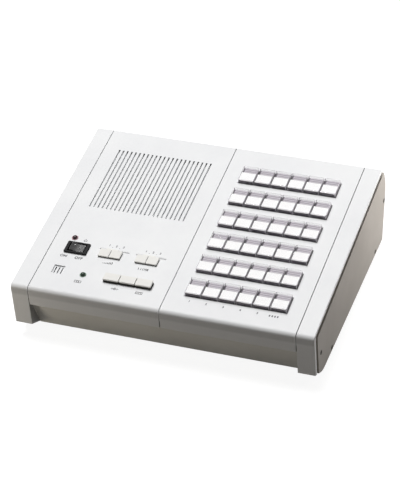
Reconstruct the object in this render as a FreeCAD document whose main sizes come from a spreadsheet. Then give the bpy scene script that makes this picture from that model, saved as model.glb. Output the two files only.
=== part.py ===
import FreeCAD, Part
import os
import re

import Sketcher

# Desk intercom master station with a bank of station keys. Millimetres, +X right, +Y back,
# +Z up. The origin lies on the table, under the middle of the casing.
#
# Two construction frames serve the whole model.
#   case: x from the middle, y back from the front face, z up from the lower edge of the end caps
#   deck: x from the middle, s up the sloping top from its front edge, n square out of the top

DIMENSIONS = [
    # casing
    ("total_width", 300.0, "over both end caps"),
    ("front_height", 56.9, "lower edge to the front edge of the top"),
    ("slope_deg", 6.7, "rise of the top towards the back"),
    ("base_depth", 228.0, "front face to the lower rear corner"),
    ("lean_deg", 15.0, "outward lean of the back"),
    ("lean_height", 47.0, "height of the straight part of the back"),
    ("rear_radius", 37.0, "curve from the back into the top"),
    ("foot_height", 3.0, "table to the lower edge of the end caps"),
    ("nose_height", 12.2, "lower end of the upright front face"),
    ("nose_run", 22.0, "front face to where the nose meets the underside"),
    ("nose_round", 25.0, "rounding between the nose and the underside"),
    ("front_round", 5.0, "rounding of the front edge of the top"),
    ("rear_round", 4.0, "rounding of the rear edge of the top"),
    ("edge_round", 0.8, "rounding of the end caps' outer edges"),
    ("seam_round", 0.3, "rounding of the edges along the seams"),
    ("wall", 2.5, "wall of the moulded panels and pan"),
    ("seam", 0.6, "gap between neighbouring casing pieces"),
    # end caps and side plates
    ("end_width", 17.2, "width of an end cap"),
    ("web", 2.0, "inner wall of an end cap"),
    ("rim_top", 2.3, "rim over the seat of the side plate"),
    ("rim_front", 4.2, "rim before the seat of the side plate"),
    ("ledge", 1.2, "step that the side plate rests on"),
    ("groove", 6.3, "gap between the side plate and the rim"),
    ("plate_sink", 0.2, "side plate below the rim"),
    ("plate_thick", 2.0, "side plate thickness"),
    # panels and base pan
    ("skirt_drop", 20.0, "height of the panels' front skirt"),
    ("rear_split", 50.0, "lower edge of the panels' rear skirt"),
    ("lip", 6.0, "pan lip behind a skirt"),
    ("lip_gap", 0.5, "rear lip to rear skirt"),
    ("lip_setback", 4.2, "pan front wall behind the front face, at the skirt"),
    ("foot_setback", 17.0, "pan front wall behind the front face, at the bottom"),
    ("base_lift", 2.0, "underside of the pan above the end caps' lower edge"),
    ("foot_radius", 7.5, "rubber foot where it meets the pan"),
    ("foot_tip_radius", 6.5, "rubber foot on the table"),
    ("foot_inset", 25.0, "foot in from the end cap"),
    ("foot_front", 45.0, "front feet behind the front face"),
    ("foot_rear", 30.0, "rear feet before the lower rear corner"),
    # screws and what they fit
    ("screw_radius", 1.5, "screw shaft"),
    ("screw_length", 20.0, "screw shaft length"),
    ("head_radius", 2.4, "screw head"),
    ("head_height", 1.1, "screw head height"),
    ("clear_radius", 1.7, "clearance hole for the shaft"),
    ("pilot_radius", 1.6, "threaded hole for the shaft"),
    ("sink_radius", 2.5, "counterbore for the head"),
    ("sink_depth", 1.3, "counterbore depth"),
    ("boss_radius", 3.0, "side screw boss"),
    ("block_reach", 8.0, "side screw boss inside the pan"),
    ("low_screw_z", 3.4, "height of the two low side screws"),
    ("low_screw_front", 52.0, "front low side screw behind the front face"),
    ("low_screw_rear", 26.0, "rear low side screw before the rear corner"),
    ("nose_screw_y", 19.2, "front side screw behind the front face"),
    ("nose_screw_z", 24.4, "front side screw height"),
    ("back_screw_in", 3.9, "back side screw before the back"),
    ("back_screw_z", 42.5, "back side screw height"),
    ("post_radius", 4.0, "panel post"),
    ("post_inset", 7.2, "panel post in from the panel's side edge"),
    ("post_front", 30.0, "front posts behind the front face"),
    ("post_rear", 42.0, "rear posts before the rear corner"),
    ("floor_boss", 5.0, "height of the pan's screw bosses"),
    ("floor_boss_radius", 5.0, "pan's screw boss"),
    ("thread_spare", 2.0, "hole deeper than the screw"),
    # station keys, on the right panel
    ("key_rows", 6, "rows of station keys"),
    ("key_columns", 6, "station keys in a row"),
    ("key_left", 17.3, "left edge of the first key"),
    ("key_front", 24.5, "front edge of the first row"),
    ("key_pitch", 16.65, "key to key along a row"),
    ("row_pitch", 31.7, "row to row"),
    ("key_width", 16.1, "clear cover, across"),
    ("key_length", 20.2, "clear cover, front to back"),
    ("key_height", 5.0, "clear cover above the deck"),
    ("key_skirt", 1.0, "clear cover below the deck"),
    ("cover_wall", 1.0, "clear cover wall"),
    ("card_thick", 0.3, "label card"),
    ("key_fit", 0.15, "gap inside the clear cover"),
    ("window_gap", 0.5, "key to the edge of its window"),
    ("carrier_low", 2.2, "carrier block below the deck"),
    ("key_travel", 3.0, "press of a key"),
    ("stem_size", 5.0, "square key stem"),
    ("stem_entry", 1.4, "stem inside its switch at rest"),
    ("stem_gap", 0.2, "stem to switch"),
    ("switch_size", 12.0, "square switch housing"),
    ("switch_height", 7.3, "switch housing height"),
    ("switch_drop", 11.0, "top of the switches below the deck"),
    # call, talk and hold keys, on the left panel
    ("bank_keys", 3, "keys in the function bank"),
    ("bank_left", -64.4, "left edge of the bank"),
    ("bank_front", 24.0, "front edge of the bank"),
    ("bank_pitch", 16.25, "bank key to key"),
    ("bank_width", 15.7, "bank key, across"),
    ("bank_length", 9.0, "bank key, front to back"),
    ("bank_height", 4.0, "bank key above the deck"),
    # loudspeaker and its grille
    ("grille_slots", 23, "slots over the loudspeaker"),
    ("grille_left", -116.1, "first slot"),
    ("grille_pitch", 4.44, "slot to slot"),
    ("grille_front", 118.6, "front end of the slots"),
    ("grille_length", 85.0, "slot length"),
    ("slot_width", 1.4, "slot width"),
    ("cone_x", -66.2, "loudspeaker centre"),
    ("cone_s", 160.5, "loudspeaker centre up the deck"),
    ("basket_radius", 38.5, "loudspeaker rim"),
    ("basket_neck", 22.0, "basket at the magnet"),
    ("basket_depth", 20.0, "rim to magnet"),
    ("basket_rim", 2.5, "rim thickness"),
    ("basket_wall", 1.6, "basket wall"),
    ("cone_neck", 9.0, "paper cone at the coil"),
    ("cone_depth", 14.0, "paper cone depth"),
    ("cone_wall", 0.8, "paper cone thickness"),
    ("magnet_radius", 22.5, "magnet"),
    ("magnet_height", 12.0, "magnet height"),
    # power rocker
    ("rocker_x", -104.9, "rocker centre"),
    ("rocker_s", 60.3, "rocker centre up the deck"),
    ("bezel_width", 23.0, "bezel flange, across"),
    ("bezel_length", 14.6, "bezel flange, front to back"),
    ("bezel_height", 2.0, "bezel flange above the deck"),
    ("bezel_lap", 1.3, "flange over the edge of its cut-out"),
    ("bezel_fit", 0.1, "switch body to cut-out"),
    ("bezel_drop", 14.0, "switch body below the deck"),
    ("well_width", 16.8, "rocker well, across"),
    ("well_length", 10.8, "rocker well, front to back"),
    ("well_drop", 6.5, "well floor below the deck"),
    ("rocker_radius", 8.0, "end faces about the pivot"),
    ("rocker_length", 10.2, "rocker, front to back"),
    ("rocker_tilt", 10.0, "tilt each way"),
    ("rocker_rise", 30.0, "top corners above the pivot, degrees"),
    ("rocker_fall", 20.0, "bottom corners below the pivot, degrees"),
    ("pivot_drop", 1.5, "pivot below the deck"),
    ("pivot_radius", 1.5, "pivot pin"),
    ("pivot_gap", 0.05, "pin to its hole"),
    ("pivot_reach", 0.5, "pin into the bezel"),
    ("tab_size", 3.0, "switch terminal width"),
    ("tab_thick", 0.8, "switch terminal thickness"),
    # two slide controls
    ("slider_mid", -68.35, "middle of the first track"),
    ("slider_pitch", 37.5, "track to track"),
    ("slider_rest", -1.95, "rest place of a knob from the middle"),
    ("track_s", 65.6, "track up the deck"),
    ("track_length", 30.5, "track length"),
    ("track_width", 2.4, "track width"),
    ("knob_width", 22.2, "slide knob, across"),
    ("knob_front", 54.5, "front edge of the slide knobs"),
    ("knob_length", 9.7, "slide knob, front to back"),
    ("knob_thick", 2.0, "slide knob thickness"),
    ("knob_lift", 0.3, "slide knob above the deck"),
    ("tongue_width", 12.0, "tongue from the knob into the track"),
    ("tongue_thick", 1.2, "tongue thickness"),
    ("lever_thick", 1.4, "lever in the track"),
    ("lever_entry", 2.5, "lever inside the slide control"),
    ("pot_length", 36.0, "slide control body, across"),
    ("pot_width", 7.5, "slide control body, front to back"),
    ("pot_height", 8.0, "slide control body height"),
    ("pot_slot_depth", 5.0, "slot in the slide control"),
    ("pot_wall", 1.5, "end wall of the slide control"),
    # indicator lamps and microphone
    ("power_lamp_x", -112.6, "power lamp"),
    ("power_lamp_s", 73.9, "power lamp up the deck"),
    ("busy_lamp_x", -86.3, "in-use lamp"),
    ("busy_lamp_s", 28.3, "in-use lamp up the deck"),
    ("lamp_radius", 2.5, "lamp body"),
    ("lamp_stand", 2.8, "lamp above the deck"),
    ("lamp_flange", 2.9, "lamp flange radius"),
    ("lamp_flange_height", 1.0, "lamp flange thickness"),
    ("lamp_gap", 0.1, "lamp to its hole and collar"),
    ("collar_radius", 3.3, "lamp collar"),
    ("collar_height", 0.5, "lamp collar above the deck"),
    ("lead_pitch", 2.54, "lamp leads"),
    ("lead_size", 0.5, "lamp lead"),
    ("mic_x", -112.5, "microphone"),
    ("mic_s", 30.0, "microphone up the deck"),
    ("mic_recess", 11.0, "square recess over the microphone"),
    ("mic_sink", 1.4, "recess depth"),
    ("mic_slot_pitch", 3.4, "sound slots"),
    ("mic_slot_width", 1.2, "sound slot width"),
    ("mic_slot_length", 8.5, "sound slot length"),
    ("capsule_radius", 4.85, "microphone capsule"),
    ("capsule_height", 5.0, "microphone capsule height"),
    # circuit boards
    ("board_thick", 1.6, "circuit board"),
    ("board_margin", 2.0, "key board beyond the keys"),
    ("control_board_left", -119.5, "control board"),
    ("control_board_right", -12.6, "control board"),
    ("control_board_front", 14.0, "control board"),
    ("control_board_rear", 79.0, "control board"),
    ("standoff_radius", 3.0, "board support"),
    ("stake_radius", 1.4, "pin through the board"),
    ("stake_gap", 0.1, "pin to its hole"),
    ("stake_spare", 1.0, "pin beyond the board"),
    ("support_left", -100.0, "left supports of the control board"),
    ("support_right", -22.0, "right supports of the control board"),
    ("support_front", 44.0, "front supports of the control board"),
    ("support_rear", 75.5, "rear supports of the control board"),
    # sockets in the back
    ("socket_x", -62.0, "line socket centre"),
    ("socket_low", 14.0, "sockets' lower edge, up the back"),
    ("socket_width", 44.0, "line socket, across"),
    ("socket_height", 14.0, "sockets' height"),
    ("socket_depth", 13.0, "sockets' depth behind the wall"),
    ("socket_stand", 1.0, "sockets' stand out of the wall"),
    ("socket_fit", 0.1, "socket to cut-out"),
    ("mouth_width", 36.0, "plug opening of the line socket"),
    ("mouth_height", 8.4, "plug opening of the line socket"),
    ("mouth_depth", 9.0, "plug opening depth"),
    ("jack_x", -22.0, "power jack centre"),
    ("jack_width", 14.0, "power jack, across"),
    ("jack_hole", 2.75, "power jack hole radius"),
    ("jack_pin", 1.0, "power jack pin radius"),
]

FORMULAS = [
    ("nose_slope", "=nose_height / nose_run", "fall of the nose line"),
    ("nose_stretch", "=sqrt(1 + nose_slope^2)", "nose line, height per distance"),
    ("curve_y", "=base_depth + lean_height*tan(lean_deg) - rear_radius*cos(lean_deg)", "rear curve, y"),
    ("curve_z", "=lean_height + rear_radius*sin(lean_deg)", "rear curve centre, z"),
    ("curve_s", "=curve_y*cos(slope_deg) + (curve_z - front_height)*sin(slope_deg)", "the same, s"),
    ("curve_n", "=(curve_z - front_height)*cos(slope_deg) - curve_y*sin(slope_deg)", "the same, n"),
    ("front_y", "=-(curve_y + rear_radius) / 2", "front face from the origin"),
    ("inner_half", "=total_width / 2 - end_width", "middle to an end cap's inner face"),
    ("panel_width", "=inner_half - 1.5*seam", "each top panel"),
    ("panel_middle", "=(panel_width + seam) / 2", "middle of a top panel"),
    ("skirt_z", "=front_height - skirt_drop", "lower edge of the front skirt"),
    ("front_run", "=(foot_setback - lip_setback) / (skirt_z - base_lift)", "slant of the pan's front"),
    ("front_stretch", "=sqrt(1 + front_run^2)", "pan front, run per thickness"),
    ("rear_lip_y", "=curve_y + sqrt((rear_radius - wall)^2 - (rear_split - curve_z)^2) - lip_gap",
     "outer face of the pan's rear lip"),
    ("board_drop", "=switch_drop + switch_height", "top of the boards below the deck"),
    ("post_far", "=panel_middle + panel_width/2 - post_inset", "outer posts from the middle"),
    ("post_near", "=panel_middle - panel_width/2 + post_inset", "inner posts from the middle"),
    ("plate_face", "=total_width/2 - plate_sink", "outer face of a side plate"),
    ("card_top", "=key_height - cover_wall - key_fit*2", "top of a label card"),
]

doc = FreeCAD.newDocument("desk_intercom")
sheet = doc.addObject("Spreadsheet::Sheet", "dims")
for number_of_row, (alias, value, note) in enumerate(DIMENSIONS + FORMULAS, start=1):
    sheet.set(f"A{number_of_row}", alias)
    sheet.set(f"B{number_of_row}", str(value))
    sheet.set(f"C{number_of_row}", note)
    sheet.setAlias(f"B{number_of_row}", alias)
doc.recompute()

ALIASES = {alias for alias, value, note in DIMENSIONS + FORMULAS}
SUB_PARTS = []


# ---------------------------------------------------------------- expressions and frames

def linked(text):
    """The expression with each alias pointed at the spreadsheet."""
    return re.sub(r"[A-Za-z_]\w*", lambda m: "dims." + m.group() if m.group() in ALIASES else m.group(),
                  str(text))


def bind(thing, prop, text):
    thing.setExpression(prop, linked(text))


def number(text):
    value = sheet.evalExpression(linked(text))
    return float(getattr(value, "Value", value))


def frame(x="0", y="0", z="0", turn="0", axis="1; 0; 0"):
    return f"placement(vector({x}; {y}; {z}); rotation(vector({axis}); {turn}))"


CASE = frame(y="front_y", z="foot_height")
DECK = frame(y="front_y", z="foot_height + front_height", turn="slope_deg")
BACK = frame(y="front_y + base_depth", z="foot_height", turn="-lean_deg")


def deck_plane(lift):
    """Offset that lays a sketch of a case body on the deck, lifted square to it."""
    return frame(y=f"-({lift}) * sin(slope_deg)", z=f"front_height + ({lift}) * cos(slope_deg)",
                 turn="slope_deg")


def publish(thing, label, place=None):
    """Makes the object a sub-part, with its own label and place."""
    thing.Label = label
    if place:
        bind(thing, "Placement", place)
    SUB_PARTS.append(thing)
    return thing


# ---------------------------------------------------------------- sketches and features

def new_body(label, place):
    return publish(doc.addObject("PartDesign::Body", label), label, place)


def sketch(body, plane, name, offset=None):
    """A sketch on one of the body's own origin planes."""
    drawing = body.newObject("Sketcher::SketchObject", name)
    support = next(item for item in body.Origin.OriginFeatures if item.Role == plane)
    drawing.AttachmentSupport = [(support, "")]
    drawing.MapMode = "FlatFace"
    if offset:
        bind(drawing, "AttachmentOffset", offset)
    return drawing


def end_at(drawing, line, point):
    """Which end of the line lies at the point."""
    first = (drawing.getPoint(line, 1) - point).Length
    return 1 if first < (drawing.getPoint(line, 2) - point).Length else 2


def outline(drawing, corners):
    """A closed outline. A corner is (x, y), with (radius, centre x, centre y) where an arc follows."""
    start = drawing.GeometryCount
    count = len(corners)
    points = [FreeCAD.Vector(number(corner[0]), number(corner[1]), 0) for corner in corners]
    for index, corner in enumerate(corners):
        here, there = points[index], points[(index + 1) % count]
        if len(corner) == 2:
            drawing.addGeometry(Part.LineSegment(here, there), False)
            continue
        radius, centre_x, centre_y = corner[2]
        centre = FreeCAD.Vector(number(centre_x), number(centre_y), 0)
        towards = (here + there) * 0.5 - centre
        if towards.Length < 1e-6:
            towards = FreeCAD.Vector(there.y - here.y, here.x - there.x, 0)
        middle = centre + towards.normalize() * number(radius)
        drawing.addGeometry(Part.Arc(here, middle, there), False)
    for index in range(count):
        line, following = start + index, start + (index + 1) % count
        meeting = points[(index + 1) % count]
        drawing.addConstraint(Sketcher.Constraint(
            "Coincident", line, end_at(drawing, line, meeting),
            following, end_at(drawing, following, meeting)))
    for index, corner in enumerate(corners):
        line = start + index
        end = end_at(drawing, line, points[index])
        for kind, text, value in (("DistanceX", corner[0], points[index].x),
                                  ("DistanceY", corner[1], points[index].y)):
            size = drawing.addConstraint(Sketcher.Constraint(kind, -1, 1, line, end, value))
            bind(drawing, f"Constraints[{size}]", text)
        if len(corner) == 3:
            hold_arc(drawing, line, *corner[2])


def hold_arc(drawing, line, radius, centre_x, centre_y):
    """Fixes an arc whose ends are fixed already: a half circle by its centre, another by its radius."""
    chord = drawing.getPoint(line, 1) - drawing.getPoint(line, 2)
    if chord.Length < number(radius) * 1.999:
        size = drawing.addConstraint(Sketcher.Constraint("Radius", line, number(radius)))
        bind(drawing, f"Constraints[{size}]", radius)
        return
    kind, text = ("DistanceY", centre_y) if abs(chord.x) > abs(chord.y) else ("DistanceX", centre_x)
    size = drawing.addConstraint(Sketcher.Constraint(kind, -1, 1, line, 3, number(text)))
    bind(drawing, f"Constraints[{size}]", text)


def rectangle(drawing, x_low, x_high, y_low, y_high):
    outline(drawing, [(x_low, y_low), (x_high, y_low), (x_high, y_high), (x_low, y_high)])


def stadium(drawing, x, y_low, y_high, width):
    """A slot with round ends."""
    half = f"({width}) / 2"
    low, high = f"{y_low} + {half}", f"{y_high} - {half}"
    outline(drawing, [(f"{x} - {half}", low, (half, x, low)), (f"{x} + {half}", low),
                      (f"{x} + {half}", high, (half, x, high)), (f"{x} - {half}", high)])


def circle(drawing, x, y, radius):
    ring = drawing.addGeometry(Part.Circle(FreeCAD.Vector(number(x), number(y), 0),
                                           FreeCAD.Vector(0, 0, 1), number(radius)), False)
    for kind, text in (("DistanceX", x), ("DistanceY", y)):
        size = drawing.addConstraint(Sketcher.Constraint(kind, -1, 1, ring, 3, number(text)))
        bind(drawing, f"Constraints[{size}]", text)
    size = drawing.addConstraint(Sketcher.Constraint("Radius", ring, number(radius)))
    bind(drawing, f"Constraints[{size}]", radius)


def shape_volume(body):
    return body.Shape.Volume if not body.Shape.isNull() else 0.0


def extrude(kind, body, drawing, length, midplane=False, reverse=False):
    """A pad or a pocket, tested to have added or removed material."""
    doc.recompute()
    before = shape_volume(body)
    feature = body.newObject("PartDesign::" + kind, f"{drawing.Name}_{kind}")
    feature.Profile = drawing
    bind(feature, "Length", length)
    feature.Midplane = midplane
    feature.Reversed = reverse
    doc.recompute()
    change = shape_volume(body) - before
    if (change <= 0) if kind == "Pad" else (change >= 0):
        raise RuntimeError(f"{body.Label}: {feature.Name} changed the volume by {change}")
    return feature


def pad(body, drawing, length, **options):
    return extrude("Pad", body, drawing, length, **options)


def pocket(body, drawing, length, **options):
    return extrude("Pocket", body, drawing, length, **options)


def repeat(body, feature, axis, length, count):
    """Repeats a feature along an axis of its own sketch."""
    before = shape_volume(body)
    pattern = body.newObject("PartDesign::LinearPattern", feature.Name + "_row")
    pattern.Originals = [feature]
    pattern.Direction = (feature.Profile[0], [axis])
    bind(pattern, "Length", length)
    bind(pattern, "Occurrences", count)
    body.Tip = pattern
    doc.recompute()
    if shape_volume(body) == before:
        raise RuntimeError(f"{body.Label}: {pattern.Name} changed nothing")
    return pattern


def round_edges(body, radius, *places):
    """Rounds the edges along X that pass through the given places of the case's side view."""
    points = [(number(y), number(z)) for y, z in places]
    base = body.Tip
    chosen = []
    for index, edge in enumerate(base.Shape.Edges, start=1):
        first, last = edge.Vertexes[0].Point, edge.Vertexes[-1].Point
        if abs(first.y - last.y) > 1e-6 or abs(first.z - last.z) > 1e-6 or abs(first.x - last.x) < 1:
            continue
        if any(abs(first.y - y) + abs(first.z - z) < 0.02 for y, z in points):
            chosen.append(f"Edge{index}")
    if not chosen:
        raise RuntimeError(f"{body.Label}: no edge to round at {places}")
    fillet(body, radius, base, chosen)


def fillet(body, radius, base, names):
    feature = body.newObject("PartDesign::Fillet", "rounding")
    feature.Base = (base, names)
    bind(feature, "Radius", radius)
    doc.recompute()


def round_run(body, radius, x, y, z):
    """Rounds the run of smoothly joined edges that passes through a place."""
    base = body.Tip
    place = Part.Vertex(number(x), number(y), number(z))
    fillet(body, radius, base, [f"Edge{index}" for index, edge in enumerate(base.Shape.Edges, start=1)
                                if edge.distToShape(place)[0] < 1e-6])


def round_side(body, radius, x):
    """Rounds all edges that lie in the plane square to X at the given x."""
    base = body.Tip
    place = number(x)
    fillet(body, radius, base, [
        f"Edge{index}" for index, edge in enumerate(base.Shape.Edges, start=1)
        if max(abs(edge.BoundBox.XMin - place), abs(edge.BoundBox.XMax - place)) < 1e-6])


# ---------------------------------------------------------------- solids and booleans

def block(x, y, z):
    """A box between low and high expressions on each axis."""
    box = doc.addObject("Part::Box", "block")
    for prop, (low, high) in zip(("Length", "Width", "Height"), (x, y, z)):
        bind(box, prop, f"({high}) - ({low})")
    bind(box, "Placement", frame(x[0], y[0], z[0]))
    return box


def centred(middle, size):
    return f"{middle} - ({size}) / 2", f"{middle} + ({size}) / 2"


def rod(x, y, z, radius):
    """An upright cylinder between two heights."""
    cylinder = doc.addObject("Part::Cylinder", "rod")
    bind(cylinder, "Radius", radius)
    bind(cylinder, "Height", f"({z[1]}) - ({z[0]})")
    bind(cylinder, "Placement", frame(x, y, z[0]))
    return cylinder


def taper(x, y, z, low_radius, high_radius):
    """An upright cone between two heights."""
    cone = doc.addObject("Part::Cone", "taper")
    bind(cone, "Radius1", low_radius)
    bind(cone, "Radius2", high_radius)
    bind(cone, "Height", f"({z[1]}) - ({z[0]})")
    bind(cone, "Placement", frame(x, y, z[0]))
    return cone


def cut(base, *tools):
    result = doc.addObject("Part::Cut", "cut")
    result.Base = base
    result.Tool = tools[0] if len(tools) == 1 else fuse(*tools)
    return result


def fuse(*pieces):
    result = doc.addObject("Part::MultiFuse", "fuse")
    result.Shapes = list(pieces)
    return result


def group(*pieces):
    result = doc.addObject("Part::Compound", "group")
    result.Links = list(pieces)
    return result


def seated(thing, place):
    bind(thing, "Placement", place)
    return thing


# ---------------------------------------------------------------- casing

def side_profile(top="0", front="0", rear="0", low="0", nose="0"):
    """Corners of the casing's side view in case (y, z), moved in by a distance on each side."""
    rise = f"(nose_height + ({nose}) * nose_stretch)"
    radius = f"(rear_radius - ({rear}))"
    reach = f"(curve_s + sqrt({radius}^2 - (curve_n + ({top}))^2))"
    return [
        (front, f"{rise} - nose_slope * ({front})"),
        (front, f"front_height + ({front}) * tan(slope_deg) - ({top}) / cos(slope_deg)"),
        (f"{reach} * cos(slope_deg) + ({top}) * sin(slope_deg)",
         f"front_height + {reach} * sin(slope_deg) - ({top}) * cos(slope_deg)",
         (radius, "curve_y", "curve_z")),
        (f"curve_y + {radius} * cos(lean_deg)", f"curve_z - {radius} * sin(lean_deg)"),
        (f"base_depth + ({low}) * tan(lean_deg) - ({rear}) / cos(lean_deg)", low),
        (f"({rise} - ({low})) / nose_slope", low),
    ]


SIDE_SCREWS = [
    ("nose_screw_y", "nose_screw_z"),
    ("low_screw_front", "low_screw_z"),
    ("base_depth - low_screw_rear", "low_screw_z"),
    ("base_depth + back_screw_z * tan(lean_deg) - back_screw_in", "back_screw_z"),
]


def end_cap(label, side):
    """A hollow end cap, open outwards, with a rim that frames the side plate."""
    left = side < 0
    body = new_body(label, CASE)
    outer_face = frame(z=f"{side} * total_width / 2")
    web_face = frame(z=f"{side} * (inner_half + web)")
    profile = sketch(body, "YZ_Plane", "profile", outer_face)
    outline(profile, side_profile())
    pad(body, profile, "end_width", reverse=not left)
    corners = side_profile()
    round_edges(body, "front_round", corners[1])
    round_edges(body, "rear_round", corners[2][:2])
    round_edges(body, "nose_round", corners[-1])
    round_side(body, "edge_round", f"{side} * total_width / 2")
    round_side(body, "seam_round", f"{side} * inner_half")
    seat = sketch(body, "YZ_Plane", "plate_seat", outer_face)
    outline(seat, side_profile("rim_top", "rim_front", "-wall", "-wall", "-wall"))
    pocket(body, seat, "plate_sink + plate_thick", reverse=left)
    hollow = sketch(body, "YZ_Plane", "hollow", outer_face)
    outline(hollow, side_profile("rim_top + groove + ledge", "rim_front + groove + ledge",
                                 "wall", "wall", "wall"))
    pocket(body, hollow, "end_width - web", reverse=left)
    bosses = sketch(body, "YZ_Plane", "bosses", web_face)
    for y, z in SIDE_SCREWS:
        circle(bosses, y, z, "boss_radius")
    pad(body, bosses, "end_width - web - plate_sink - plate_thick", reverse=left)
    holes = sketch(body, "YZ_Plane", "screw_holes", outer_face)
    for y, z in SIDE_SCREWS:
        circle(holes, y, z, "clear_radius")
    pocket(body, holes, "end_width", reverse=left)
    return body


def side_plate(label, side):
    """The flat plate that closes an end cap, with counterbored screw holes."""
    left = side < 0
    body = new_body(label, CASE)
    face = frame(z=f"{side} * plate_face")
    profile = sketch(body, "YZ_Plane", "profile", face)
    corners = side_profile("rim_top + groove", "rim_front + groove")
    outline(profile, corners)
    pad(body, profile, "plate_thick", reverse=not left)
    round_edges(body, "nose_round", corners[-1])
    for name, radius, depth in (("shafts", "clear_radius", "plate_thick"),
                                ("heads", "sink_radius", "sink_depth")):
        holes = sketch(body, "YZ_Plane", name, face)
        for y, z in SIDE_SCREWS:
            circle(holes, y, z, radius)
        pocket(body, holes, depth, reverse=left)
    return body


def posts():
    """(x, y) of the posts that tie the top panels to the pan, right panel only."""
    return [(x, y) for x in ("post_near", "post_far")
            for y in ("post_front", "base_depth - post_rear")]


def top_panel(label, side):
    """A sloping top with a front skirt, a curved rear skirt and screw posts."""
    body = new_body(label, CASE)
    middle = frame(z=f"{side} * panel_middle")
    outer, inner = side_profile(), side_profile("wall", "wall", "wall")
    split = "(rear_split - curve_z)"
    outer_end = f"curve_y + sqrt(rear_radius^2 - {split}^2)"
    inner_end = f"curve_y + sqrt((rear_radius - wall)^2 - {split}^2)"
    profile = sketch(body, "YZ_Plane", "profile", middle)
    outline(profile, [
        ("0", "skirt_z"), outer[1], outer[2], (outer_end, "rear_split"),
        (inner_end, "rear_split", ("rear_radius - wall", "curve_y", "curve_z")),
        inner[2][:2], inner[1], ("wall", "skirt_z")])
    pad(body, profile, "panel_width", midplane=True)
    round_edges(body, "front_round", outer[1])
    round_edges(body, "rear_round", outer[2][:2])
    round_edges(body, "front_round - wall", inner[1])
    for edge in ("-", "+"):
        round_run(body, "seam_round", f"{side} * panel_middle {edge} panel_width / 2", "0",
                  "skirt_z + skirt_drop / 2")
    foot = "base_lift + floor_boss"
    for name, y in (("front_posts", "post_front"), ("rear_posts", "base_depth - post_rear")):
        upright = sketch(body, "XY_Plane", name, frame(z=foot))
        for x in ("post_near", "post_far"):
            circle(upright, f"{side} * {x}", y, "post_radius")
        deck_height = f"front_height + ({y}) * tan(slope_deg)"
        pad(body, upright, f"{deck_height} - wall / 2 / cos(slope_deg) - ({foot})")
        threads = sketch(body, "XY_Plane", name + "_threads", frame(z=foot))
        for x in ("post_near", "post_far"):
            circle(threads, f"{side} * {x}", y, "pilot_radius")
        pocket(body, threads, "screw_length - floor_boss + sink_depth + thread_spare", reverse=True)
    return body


def supports(body, places):
    """Board supports under the deck, each with a pin that the board is staked on."""
    for name, radius, drop in (("supports", "standoff_radius", "board_drop"),
                               ("stakes", "stake_radius", "board_drop + board_thick + stake_spare")):
        drawing = sketch(body, "XY_Plane", name, deck_plane("-wall / 2"))
        for x, s in places:
            circle(drawing, x, s, radius)
        pad(body, drawing, f"{drop} - wall / 2", reverse=True)


def key_supports():
    """(x, s) of the key board's supports, in the strips between the outer rows of keys."""
    strip = "key_front - (row_pitch - key_length) / 2"
    return [(x, s) for x in ("key_left + key_pitch", "key_left + key_pitch * (key_columns - 1)")
            for s in (f"{strip} + row_pitch", f"{strip} + row_pitch * (key_rows - 1)")]


def control_supports():
    return [(x, s) for x in ("support_left", "support_right") for s in ("support_front", "support_rear")]


def key_panel():
    """The right top panel, with a window for each row of station keys."""
    body = top_panel("key_panel", 1)
    window = sketch(body, "XY_Plane", "key_window", deck_plane("0"))
    rectangle(window, "key_left - window_gap",
              "key_left + key_pitch * (key_columns - 1) + key_width + window_gap",
              "key_front - window_gap", "key_front + key_length + window_gap")
    first = pocket(body, window, "wall * 2")
    repeat(body, first, "V_Axis", "row_pitch * (key_rows - 1)", "key_rows")
    supports(body, key_supports())
    return body


def control_panel():
    """The left top panel: grille, keys, rocker, slide controls, lamps and microphone."""
    body = top_panel("control_panel", -1)
    slot = sketch(body, "XY_Plane", "grille_slot", deck_plane("0"))
    stadium(slot, "grille_left + slot_width / 2", "grille_front", "grille_front + grille_length",
            "slot_width")
    first = pocket(body, slot, "wall * 2")
    repeat(body, first, "H_Axis", "grille_pitch * (grille_slots - 1)", "grille_slots")
    openings = sketch(body, "XY_Plane", "openings", deck_plane("0"))
    rectangle(openings, "bank_left - window_gap / 2",
              "bank_left + bank_pitch * (bank_keys - 1) + bank_width + window_gap / 2",
              "bank_front - window_gap / 2", "bank_front + bank_length + window_gap / 2")
    rectangle(openings, *centred("rocker_x", "bezel_width - 2 * bezel_lap"),
              *centred("rocker_s", "bezel_length - 2 * bezel_lap"))
    for track in range(2):
        rectangle(openings, *centred(f"slider_mid + slider_pitch * {track}", "track_length"),
                  *centred("track_s", "track_width"))
    for lamp in ("power_lamp", "busy_lamp"):
        circle(openings, f"{lamp}_x", f"{lamp}_s", "lamp_radius + lamp_gap")
    pocket(body, openings, "wall * 2")
    recess = sketch(body, "XY_Plane", "mic_recess_square", deck_plane("0"))
    rectangle(recess, *centred("mic_x", "mic_recess"), *centred("mic_s", "mic_recess"))
    pocket(body, recess, "mic_sink")
    sound = sketch(body, "XY_Plane", "mic_slots", deck_plane("0"))
    for place in (-1, 0, 1):
        stadium(sound, f"mic_x + mic_slot_pitch * {place}", "mic_s - mic_slot_length / 2",
                "mic_s + mic_slot_length / 2", "mic_slot_width")
    pocket(body, sound, "wall * 2")
    supports(body, control_supports())
    return body


def back_cut(body, name, x, width):
    """A square hole through the leaning back of the pan."""
    hole = body.newObject("PartDesign::SubtractiveBox", name)
    bind(hole, "Length", f"{width} + 2 * socket_fit")
    bind(hole, "Width", "wall * 4")
    bind(hole, "Height", "socket_height + 2 * socket_fit")
    drop = "(socket_low - socket_fit)"
    bind(hole, "Placement", frame(f"{x} - ({width}) / 2 - socket_fit",
                                  f"base_depth + {drop} * sin(lean_deg) - wall * 2 * cos(lean_deg)",
                                  f"{drop} * cos(lean_deg) + wall * 2 * sin(lean_deg)", "-lean_deg"))
    doc.recompute()


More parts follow.
